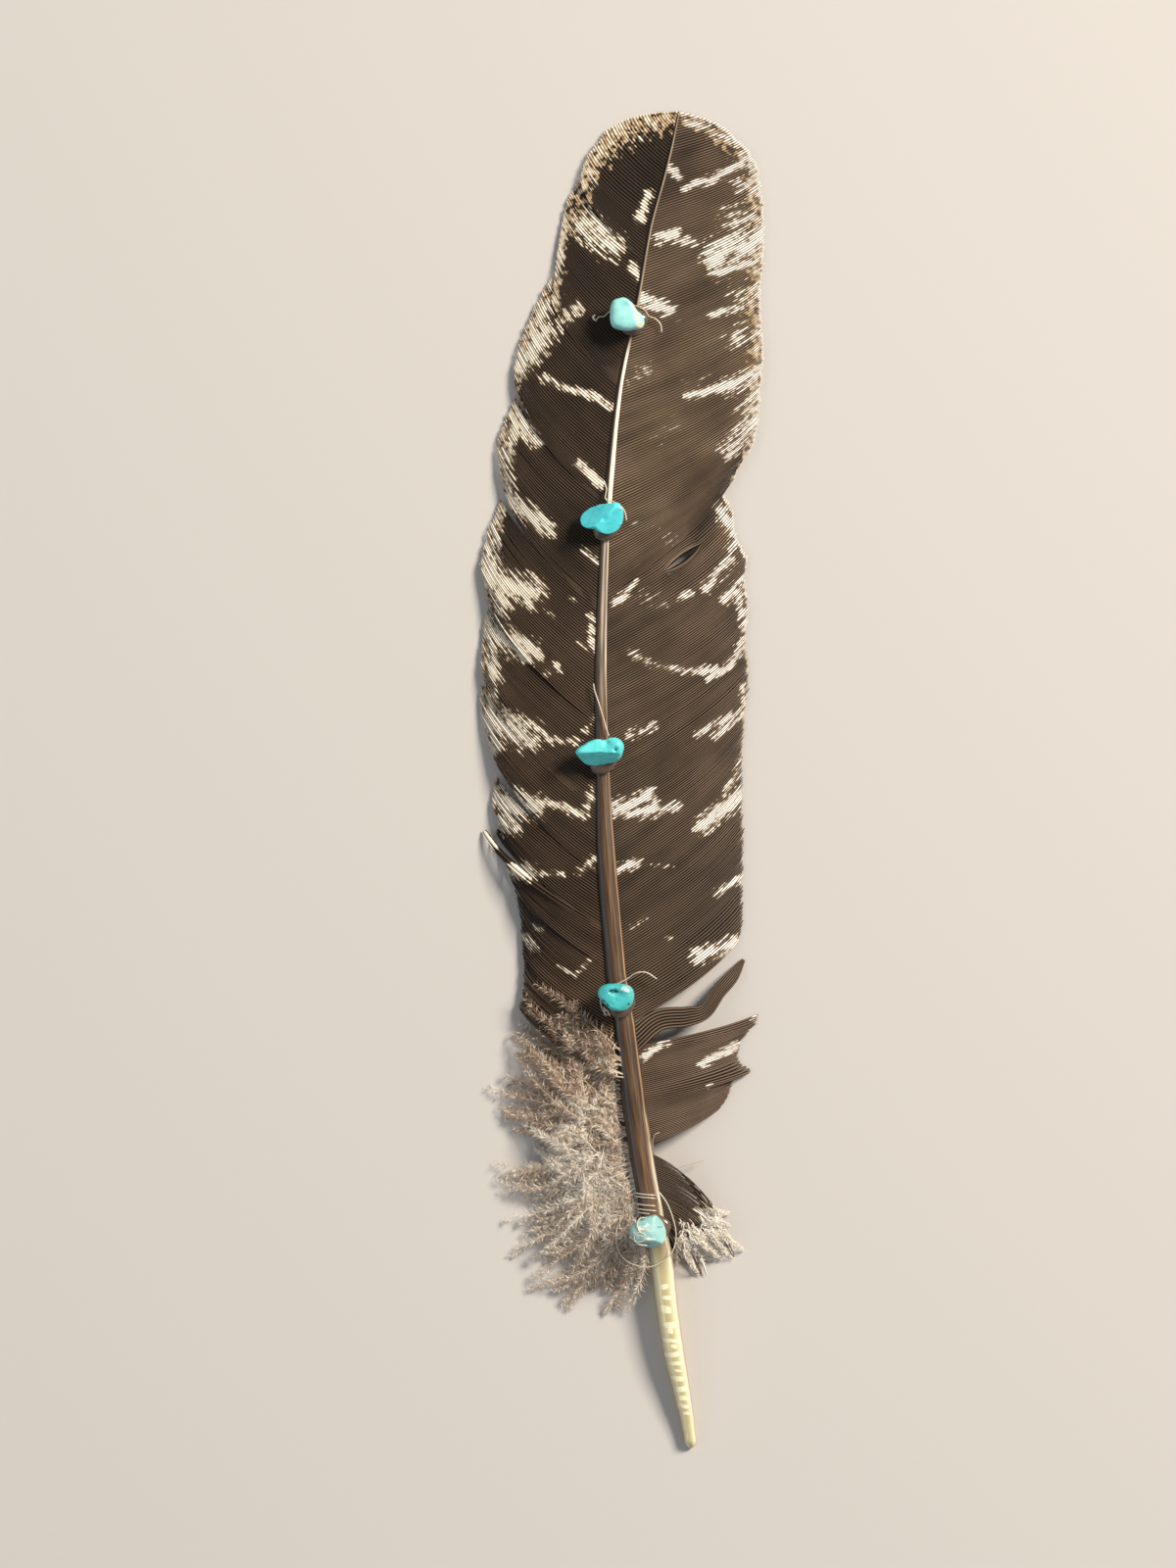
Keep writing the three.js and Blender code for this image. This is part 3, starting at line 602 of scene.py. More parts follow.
    # The rim is flecked all over with spots of a millimetre, most at the very edge
    edge = node(tree, "ShaderNodeAttribute", attribute_name="rim").outputs["Fac"]
    flecks = node(tree, "ShaderNodeTexNoise", {"Vector": where, "Scale": 760.0, "Detail": 1.5})
    near_edge = node(tree, "ShaderNodeMapRange", {"Value": edge, "From Min": 0.05,
                                                  "From Max": 0.2}).outputs[0]
    spread = node(tree, "ShaderNodeMath", {0: flecks.outputs["Fac"], 1: 2.2, 2: edge},
                  operation="MULTIPLY_ADD").outputs[0]
    edge = node(tree, "ShaderNodeMapRange", {"Value": spread, "From Min": 1.65,
                                             "From Max": 1.85}).outputs[0]
    edge = node(tree, "ShaderNodeMath", {0: edge, 1: near_edge}, operation="MULTIPLY").outputs[0]
    mask = node(tree, "ShaderNodeMath", {0: mask, 1: edge}, operation="MAXIMUM").outputs[0]
    edge = node(tree, "ShaderNodeMapRange", {"Value": spread, "From Min": 1.9,
                                             "From Max": 2.4}).outputs[0]
    full = node(tree, "ShaderNodeMapRange", {"Value": rise, "From Min": 1.64,
                                             "From Max": 1.9}).outputs[0]
    full = node(tree, "ShaderNodeMath", {0: full, 1: edge}, operation="MAXIMUM").outputs[0]
    pale = node(tree, "ShaderNodeMix", {"Factor": full, "A": linear(warm), "B": linear(cream)},
                data_type="RGBA").outputs["Result"]
    # Painted shade: pale parts are darker towards the grooves between the barbs
    groove_shade = node(tree, "ShaderNodeMapRange", {"Value": off, "From Min": 0.25, "From Max": 0.45,
                                            "To Min": 1.0, "To Max": 0.52}).outputs[0]
    pale = node(tree, "ShaderNodeVectorMath", {0: pale, "Scale": groove_shade}, operation="SCALE").outputs[0]
    colour = node(tree, "ShaderNodeMix", {"Factor": mask, "A": brown, "B": pale},
                  data_type="RGBA").outputs["Result"]
    tree.links.new(colour, shader.inputs["Base Color"])
    return made


def left_rim(y, inward):
    """The left vane's edge is mottled pale for 2 to 4 mm, most towards the tip, and ends in
    a whitish line."""
    wide = np.interp(y, [-30, -15, 0, 60, 120, 140], [0.1, 1.2, 2.4, 3.4, 3.8, 6])
    line = np.interp(y, [-25, 0], [0, 1.3]) * (1.5 - inward / 0.4).clip(0, 1)
    return np.maximum(line, 0.85 * (1.3 - 0.8 * inward / wide).clip(0, 1))


# The left vane's colours are darker than the right vane's: partly its own colour, partly painted shade
# of a vane that slopes away from the light
left_barbs = barb_finish("left_vane_keratin", "0f0905", "594634", "fff6e2", "c0a47c", (
    (-0.15, 1.8), (0.15, 0.6), (-0.041, 1.75), (-0.027, 1.15), (0.018, 1.45), (0.055, 1.05),
    (0.09, 0.92), (0.13, 0.7)))
vane("left_vane", [
    barbs(rows, LEFT_BEND, seed, LEFT_MARKS, left_rim, lap=LAP, spacing=LEFT_SPACING, wave=0.1,
          under=0.9 if seed else 0)
    for seed, rows in enumerate(LEFT_LOBES)
], left_barbs)


# Right vane: broader and still whole from the tip down to a notch, where the lower part has
# been folded back under the upper one, and whole again from there to its torn lower end.
RIGHT_UPPER = np.array([
    (12.4, 149.9, 149.9), (16.8, 148.8, 147.3), (21.9, 146.8, 142.9), (25.2, 144, 138.5),
    (28.3, 140.9, 133.2), (30.2, 137.2, 127.5), (30.9, 132.8, 121.1), (31.8, 122.7, 109), (31, 113, 98),
    (31.1, 102.4, 86.1), (31.4, 94.5, 77.1), (30.5, 84.6, 65), (29.4, 76.2, 54), (26.9, 71.6, 47.9),
    (25, 68.1, 43.9), (23, 65, 40.4),
])
RIGHT_LOWER = np.array([
    (22.3, 65, 43), (24.3, 61, 39), (25.6, 54, 32.5), (27.4, 50.3, 28.5), (27.4, 44.3, 22.3),
    (27.7, 38.6, 16.2), (27.6, 28.7, 5.6), (28.3, 23.9, 0.3), (26.9, 10.4, -13.8), (26.5, -3.4, -27.8),
    (26.9, -13.3, -36.6), (26.9, -23.4, -45.9), (26.7, -32, -51.6), (25.9, -35.8, -54.7),
])
RIGHT_BEND = (0.75, 0.55)
RIGHT_MARKS_AND_SHEEN = (
    (14, 148.2, 25, 142.9, 1.8, 0.7), (25.4, 142, 29.8, 135.4, 2.2, 0.7),
    (9.8, 137.6, 12.4, 135, 1.8, 0.9), (14, 132.3, 23.9, 136.5, 1.8, 0.95),
    (22.8, 135.8, 28.9, 139.4, 2.2, 0.8), (26.1, 133.2, 31.1, 131, 4, 0.62),
    (25, 125.5, 31.1, 125.5, 5.7, 0.6), (7.8, 120.9, 11.8, 122.2, 2, 1),
    (11.8, 120.7, 15.7, 120.5, 1.8, 0.85), (21, 117.4, 31.1, 121.8, 5.7, 0.98),
    (20.1, 113.4, 29.4, 116, 2.6, 0.85), (26.5, 109, 31.1, 109, 4.8, 0.62),
    (19.2, 104.2, 26.5, 105.5, 1.5, 0.75), (25, 99.1, 31.1, 99.1, 4.8, 0.5),
    (4.1, 107.7, 10, 105, 2.6, 0.95), (1, 88.8, 5.6, 92.3, 1.3, 0.5), (3.9, 92.3, 5.6, 88.8, 1.1, 0.5),
    (14.4, 85.9, 22.8, 87.9, 2.2, 0.95), (22.8, 87.5, 30.5, 91.4, 3.1, 0.95),
    (27.6, 82.6, 31.1, 87, 4.4, 0.7), (23.2, 73.4, 29.4, 80.4, 3.1, 0.8),
    (21.7, 60.6, 25, 54.5, 2.6, 0.9), (23.9, 51.8, 26.5, 54.5, 2.2, 0.8),
    (18.4, 43, 23.9, 49.2, 2.2, 0.8), (22.8, 40.4, 26.7, 45.2, 2, 0.8),
    (12.7, 40.4, 14.4, 41.2, 1.8, 0.8), (-1.9, 39.8, 0.4, 41.2, 1.6, 0.9),
    (0.4, 41.6, 3, 44.4, 0.9, 0.8), (25, 43, 27.6, 34.2, 2.2, 0.8), (1.2, 28.9, 5.2, 26.3, 1.8, 0.6),
    (5.6, 25.9, 14, 24.1, 1.5, 0.6), (14, 24.1, 20.6, 24.5, 1.8, 0.85),
    (18.8, 22.8, 24.1, 25.4, 1.5, 0.85), (23.6, 25.4, 27.2, 30.9, 2, 0.85),
    (1.2, 9.6, 6.9, 11.8, 2, 0.65), (0.8, 10.9, 4.3, 11.3, 1.3, 0.5),
    (16.6, 10.4, 23.9, 14.4, 1.8, 0.65), (20.6, 9.6, 26.1, 14.8, 2, 0.7),
    (26.5, 21, 27.8, 12.2, 1.5, 0.7), (-1.9, -6.7, 5.2, -4.1, 3.5, 0.95),
    (0.8, -7.6, 11.8, -6.3, 2.4, 0.8), (17.9, -10.2, 26.5, -3.2, 3.5, 0.95),
    (22.8, -3.6, 26.5, 3.4, 2, 0.7), (-1.9, -20.4, 3, -18.6, 2, 0.85),
    (3, -18.6, 10.9, -19.5, 0.7, 0.35), (20.8, -25.4, 26.5, -21.9, 1.5, 0.85),
    (1.9, -32.9, 4.7, -30.5, 1.3, 0.35), (9.1, -35.8, 10.7, -35.1, 0.9, 0.4),
    (16.6, -39.3, 25.4, -36.6, 2.9, 0.98), (4.3, -61.9, 9.6, -58.6, 1.5, 0.8),
    (0.8, -60.4, -0.1, -58.6, 1.3, 0.4), (17.3, -63.7, 25, -59.5, 1.5, 0.85),
    (23, -61.3, 26.5, -59.1, 1.3, 0.7), (18.8, -68.8, 19.9, -67.9, 0.9, 0.6),
    # The last six bars here are faint, of strength 0.15 to 0.17: painted sheen, a slight warm
    # lightening where the barbs catch the light
    (25.4, -53.8, 29.8, -52.9, 1.3, 0.5), (3.5, 57.5, 10, 54, 5, 0.17), (3.5, 41.5, 12, 38.5, 5, 0.17),
    (6, 92, 3, 90, 4, 0.17), (12, 104, 8, 100, 4, 0.15), (12, 80, 6, 74, 4, 0.17),
    (18, 90, 14, 88, 4, 0.17),
)


def right_rim(y, inward):
    """The right vane ends in a thin white line, faint low down, and above the notch in a
    mottled band."""
    bright = np.interp(y, [-50, 0, 30, 60], [0.2, 0.5, 0.85, 1.6])
    line = bright * (1.8 - inward / 0.6).clip(0, 1)
    band = np.interp(y, [60, 75, 130, 145], [0, 0.7, 0.75, 0.65]) * (1.6 - inward / 4.5).clip(0, 1)
    return np.maximum(line, band)


def fan_rim(y, inward):
    """Only the outermost half millimetre of the lower fan is pale."""
    return 0.6 * (1.4 - inward / 0.5).clip(0, 1) + 0 * y


# The folded barbs under the notch and the sunken ones between the folds, darker as painted
# shade, and darker bars near the tip and across the upper vane
RIGHT_DARK_AND_SHADE = (
    (27, 72, 17, 56.5, 3.4, 1.0), (24.5, 64, 16, 53.5, 1.6, 0.7), (9, 44, 20, 54.5, 1.6, 0.45),
    (27, 78, 12, 62, 2.4, 0.4), (14, 141, 9, 131, 6, 0.5), (24, 118, 8, 98, 3, 0.25),
)
right_barbs = barb_finish("right_vane_keratin", "1e140c", "9e846c", "fffcf4", "c9ac84", (
    (-0.15, 0.72), (0.15, 0.85), (-0.052, 0.74), (-0.04, 0.56), (-0.021, 0.54), (0.0, 0.66),
    (0.035, 0.72), (0.06, 1.0), (0.09, 1.1), (0.13, 0.9)))
vane("right_vane", [
    barbs(RIGHT_UPPER, RIGHT_BEND, 20, RIGHT_MARKS_AND_SHEEN, right_rim, lap=LAP, wave=0.25,
          dark_and_painted_shade=RIGHT_DARK_AND_SHADE),
    barbs(RIGHT_LOWER, RIGHT_BEND, 21, RIGHT_MARKS_AND_SHEEN, right_rim, wave=0.2, spacing=0.57,
          split=(9.4, 46.6, 16.8, 52.6, 1.8), dark_and_painted_shade=RIGHT_DARK_AND_SHADE),
], right_barbs)


# Lower fan, hook strip and small vane: below the tear a narrow strip of barbs has come away and
# bent into a hook, then comes a short fan of barbs, and beside the quill a last small vane
# that points down and ends in fluff.
FAN = np.array([
    (30.2, -52.7, -60), (29.8, -54.5, -61.3), (26.9, -57.8, -64.8), (25.6, -62.8, -69.6),
    (28.4, -65.5, -71.8), (25.4, -66.7, -73.6), (24.1, -68.5, -75.8), (23.4, -71, -78),
    (21.7, -73.6, -82),
])
SMALL_VANE = np.array([
    (18.8, -97.3, -82.8), (20.8, -97.8, -84.6), (22.1, -103.1, -89), (23.2, -105.7, -91.6),
    (19.5, -105.7, -93.4), (17.3, -111, -96.9), (14, -108.8, -98.2), (10.9, -107, -99.1),
])
SMALL_BEND = (0.75, 0.22)
SMALL_MARKS = ((19, -98, 21, -106, 5, 0.8), (12, -106, 18, -108, 5, 0.75))
# The strip's middle line as x, y and width
HOOK = np.array([
    (1.5, -58.8, 5), (7.4, -53.8, 4.8), (14, -52.9, 4.4), (18.1, -51.8, 3.3), (21.2, -47.6, 3.1),
    (24.3, -44.1, 2.9), (26.9, -40.4, 0.9),
])


def hook_strip(seed, count=7, steps=60):
    """Side by side blades along the strip's own route, fanned over its width, so the strip
    keeps the grain of the vane right round its bend."""
    t = np.linspace(0, len(HOOK) - 1, steps)
    route = smooth(HOOK, t)
    across = beside(unit(np.gradient(route[:, :2], axis=0)))
    side = (np.arange(count) - (count - 1) / 2) / count
    mid = route[None, :, :2] + across[None] * (side[:, None] * route[:, 2])[..., None]
    half = np.broadcast_to(0.56 * route[:, 2] / count, (count, steps))
    high = underside(route[:, 1]) + ATTACH * depth(route[:, 1])
    z = np.broadcast_to(VANE + (high - VANE) * (1 - (t / t[-1]) ** DROOP), (count, steps))
    points, faces = blades(mid, across, half, z, 0.15)
    plain = np.zeros(points.size // 3)
    return {
        "points": points.reshape(-1, 3),
        "faces": faces,
        "lie": lie_map(np.broadcast_to(t * 5, (count, steps)), seed),
        "pale": plain,
        "rim": plain,
        "dark_and_painted_shade": plain,
    }


vane("lower_fan", [
    barbs(FAN, RIGHT_BEND, 22, RIGHT_MARKS_AND_SHEEN, fan_rim, spacing=FAN_SPACING),
    hook_strip(23),
], right_barbs)
vane("small_vane", [
    barbs(SMALL_VANE, SMALL_BEND, 24, SMALL_MARKS, fan_rim, fray=2.5, spacing=FAN_SPACING,
          dark_and_painted_shade=((12, -86, 18, -100, 16, 0.55),)),
], right_barbs)


# Down: loose soft barbs at the feather's base. Each is a fine stem with several hundred threads
# on both sides of it, which never hook together, so they stand apart as fluff.

# STEM and the two threads are half widths, and LEFT_REACH is how far the left vane goes out here.
STEM = 0.15
THREAD, BRIGHT_THREAD = 0.05, 0.11
BRIGHT_SHARE = 0.18
LEFT_REACH = 24
# Each tuft of the outline: the height of its root on the shaft, and the x and y of its tip
TUFTS = np.array([
    (-62, -23.4, -49.8), (-66, -24.8, -56), (-70, -23.9, -60.4), (-73, -27.4, -65.5), (-76, -31.4, -70),
    (-78, -28.9, -73.2), (-80, -23.4, -77.1), (-82, -21, -80.2), (-85, -29.4, -87), (-87, -29.1, -90.3),
    (-88.5, -25.2, -93.6), (-90, -22.3, -97.1), (-91, -26.5, -107.2), (-92, -23.2, -102.6),
    (-93, -19, -106.2), (-94, -18.1, -108.8), (-95, -21.9, -115.8), (-96, -16.8, -114.5),
    (-97.5, -13.8, -118.9), (-98.5, -8.9, -114.1), (-99.5, -5.6, -112.3), (-100.5, -3.6, -120.5),
    (-101.5, -0.6, -114.3), (-102.5, 1.9, -109.2),
])


# Soft keratin threads, taupe where they are dense and pinkish cream where they catch light; the
# pinkish cream is partly a painted highlight
fluff, tree, shader = finish("down_keratin", {"Roughness": 0.7, "Sheen Weight": 0.2})
tone = node(tree, "ShaderNodeAttribute", attribute_name="tone").outputs["Fac"]
colour = node(tree, "ShaderNodeValToRGB", {"Fac": tone}, stops=(
    (0.1, "5a4634"), (0.35, "9a7e64"), (0.55, "ccb094"), (0.75, "f2dec4"), (0.95, "fff8ea"),
)).outputs["Color"]
tree.links.new(colour, shader.inputs["Base Color"])


def cover(x, y):
    """Height of the left vane's top at x, y, or nothing below its last barb."""
    away = shaft_at(y)[0] - x
    share = (away / LEFT_REACH).clip(0, 1)
    high = underside(y) + ATTACH * depth(y)
    over = ((y + 71.5 - 0.66 * away) / 3).clip(0, 1)
    return over * (VANE + (high - VANE) * (1 - share ** DROOP) + LAP * share ** 1.5 + 0.7)


def turned_by(way, angle):
    """Flat directions turned left by an angle."""
    c, s = np.cos(angle), np.sin(angle)
    return np.stack([way[..., 0] * c - way[..., 1] * s, way[..., 0] * s + way[..., 1] * c], axis=-1)


def plumes(name, seed, start, end, bow, threads, tone, longest=3.2, lift=3.0, steps=16):
    """Stems from start to end, each bowed sideways by its own share of its length, and
    threads on both sides of them. A thread is a closed spindle with six faces, bent in the
    middle, that leaves its stem at 30 to 65 degrees; threads shorten towards a stem's end.
    One thread in six is thick enough to catch the light, and is made lighter as a painted
    highlight; every thread also lightens towards its tip as a painted highlight."""
    chance = np.random.default_rng(seed)
    count = len(start)
    way = end - start
    side = beside(way)
    pull = start + 0.5 * way + side * bow[:, None]
    hook = chance.normal(0, 0.1, count)
    high = (underside(start[:, 1]) + depth(start[:, 1]) * 0.5)[:, None]
    rise = chance.uniform(0.1, 1, (count, 1)) * lift

    def route(u):
        """Points on all stems at the shares u of their length, one row of shares a stem."""
        v = u[..., None]
        flat = bowed(start, pull, end, v) + side[:, None] * hook[:, None, None] * v ** 3 * 0.5
        z = high + (0.5 - high) * u ** 1.2 + rise * 2 * u * (1.15 - u)
        z = np.maximum(z, cover(flat[..., 0], flat[..., 1]) + rise * 0.3 * u)
        return np.concatenate([flat, z[..., None]], axis=2)

    u = np.broadcast_to(np.linspace(0, 1, steps), (count, steps))
    mid = route(u)
    tangent = unit(np.gradient(mid, axis=1))
    across = unit(np.cross(tangent, (0, 0, 1)))
    up = np.cross(across, tangent)
    half = STEM * (1 - 0.85 * u)[..., None]
    stems = np.stack([mid + across * half, mid + up * half, mid - across * half], axis=2)
    stem_faces = repeated(tube_faces(steps, 3), count, steps * 3)
    stem_tone = np.repeat(tone[:, None] + 0.28 + 0 * u, 3, axis=1)

    at = chance.uniform(0.1, 1, (count, threads))
    base = route(at)
    ahead = unit(route(at + 0.02) - base)
    turn = np.where(np.arange(threads) % 2, 1, -1) * np.radians(
        chance.normal(46, 12, (count, threads)))
    climb = ahead[..., 2] * 0.5 + chance.normal(0.08, 0.25, (count, threads))
    lean = unit(np.concatenate([turned_by(ahead, turn), climb[..., None]], axis=-1))
    long = longest * (1 - 0.5 * at ** 2) * chance.uniform(0.45, 1.1, (count, threads))
    flat = unit(np.cross(lean, (0, 0, 1)))
    over = np.cross(flat, lean)
    sag = flat * (np.sign(turn) * chance.normal(0.1, 0.1, turn.shape) * long)[..., None]
    half_way = base + lean * (long * 0.45)[..., None] + sag
    bright = chance.random(at.shape) < BRIGHT_SHARE
    thin = np.where(bright, BRIGHT_THREAD, THREAD)[..., None]
    spikes = np.stack([
        base,
        half_way + flat * thin,
        half_way + over * thin,
        half_way - flat * thin - over * thin * 0.5,
        base + lean * long[..., None],
    ], axis=2)
    shape = np.array([(0, 2, 1), (0, 3, 2), (0, 1, 3), (1, 2, 4), (2, 3, 4), (3, 1, 4)])
    spike_faces = stems.size // 3 + repeated(shape, count * threads, 5)
    # Painted highlight: the thick threads are lighter by 0.3, and every thread lighter towards its tip
    own = tone[:, None] + chance.normal(0, 0.1, at.shape) + 0.3 * bright
    spike_tone = own[..., None] + np.array((0, 0.06, 0.06, 0.06, 0.16))

    points = np.concatenate([stems.reshape(-1, 3), spikes.reshape(-1, 3)])
    points[:, 2] = points[:, 2].clip(CLEAR, 13)
    piece(name, points, [stem_faces, spike_faces], fluff, "feather",
          values={"tone": np.concatenate([stem_tone.ravel(), spike_tone.ravel()])})


def tuft_stems(rows, seed, each):
    """Stems of the tufts that hold the outline: one reaches the tuft's tip, and the others
    spread about it by some degrees and stop short of it."""
    chance = np.random.default_rng(seed)
    picked = np.repeat(rows, each, axis=0)
    count = len(picked)
    root = picked[:, 0] + chance.normal(0, 1.2, count)
    middle, width = shaft_at(root)
    start = np.stack([middle - width * 0.3, root], axis=-1)
    share = chance.uniform(0.45, 1.0, count)
    share[::each] = 0.97
    share[1::each] = 0.9
    turn = chance.normal(0, 0.17, count) * (share < 0.97)
    turn[1::each] = 0.03
    way = (picked[:, 1:] - start) * share[:, None]
    end = start + turned_by(way, turn)
    bow = chance.normal(0.06, 0.12, count)
    tone = 0.3 + 0.32 * np.interp(-picked[:, 0], [62, 78, 88], [0, 0.6, 1])
    return start, end, bow, chance.normal(tone, 0.12)


def fan_stems(centre, scatter, angles, lengths, count, seed, tone):
    """Stems that spread from a scattered centre over a range of angles, in degrees."""
    chance = np.random.default_rng(seed)
    start = np.array(centre) + chance.normal(0, 1, (count, 2)) * scatter
    turn = np.radians(chance.uniform(*angles, count))
    long = chance.uniform(*lengths, count)
    end = start + np.stack([np.cos(turn), np.sin(turn)], axis=-1) * long[:, None]
    return start, end, chance.normal(0, 0.13, count), chance.normal(tone, 0.12, count)


def grow(name, seed, groups, threads, **settings):
    """One piece of down from several groups of stems."""
    start, end, bow, tone = (np.concatenate(rows) for rows in zip(*groups))
    plumes(name, seed, start, end, bow, threads, tone, **settings)


grow("upper_down", 41, [tuft_stems(TUFTS[:12], 51, 8)], 190)
grow("lower_down", 42, [tuft_stems(TUFTS[12:], 52, 8)], 190)
grow("curled_down", 43, [
    fan_stems((-9.5, -71), (2.0, 2.0), (94, 140), (11, 22), 22, 61, 0.36),
    fan_stems((-3, -78), (1.2, 5.0), (115, 170), (7, 13), 22, 63, 0.6),
    fan_stems((-9, -76), (2.5, 3.0), (100, 180), (5, 10), 16, 68, 0.72),
    fan_stems((-7, -86), (2.0, 2.5), (120, 275), (8, 15), 46, 62, 0.86),
    fan_stems((-9, -80), (2.0, 3.0), (140, 230), (5, 10), 16, 67, 0.74),
    fan_stems((-5, -93), (2.0, 1.5), (185, 275), (9, 18), 24, 66, 0.84),
], 190, longest=2.6, lift=4.5)
grow("small_down", 44, [
    fan_stems((15.5, -100.5), (2.2, 1.8), (-105, -35), (5, 9.5), 30, 64, 1.1),
    fan_stems((18.5, -98.5), (1.0, 1.5), (-60, -20), (3, 6), 10, 65, 1.15),
], 170, longest=1.6, lift=1.5)


# Turquoise chips: five small tumbled pieces of the stone, broken lumps with a few flat faces
# whose edges the tumbling has rounded. Each is tied and glued on the shaft.

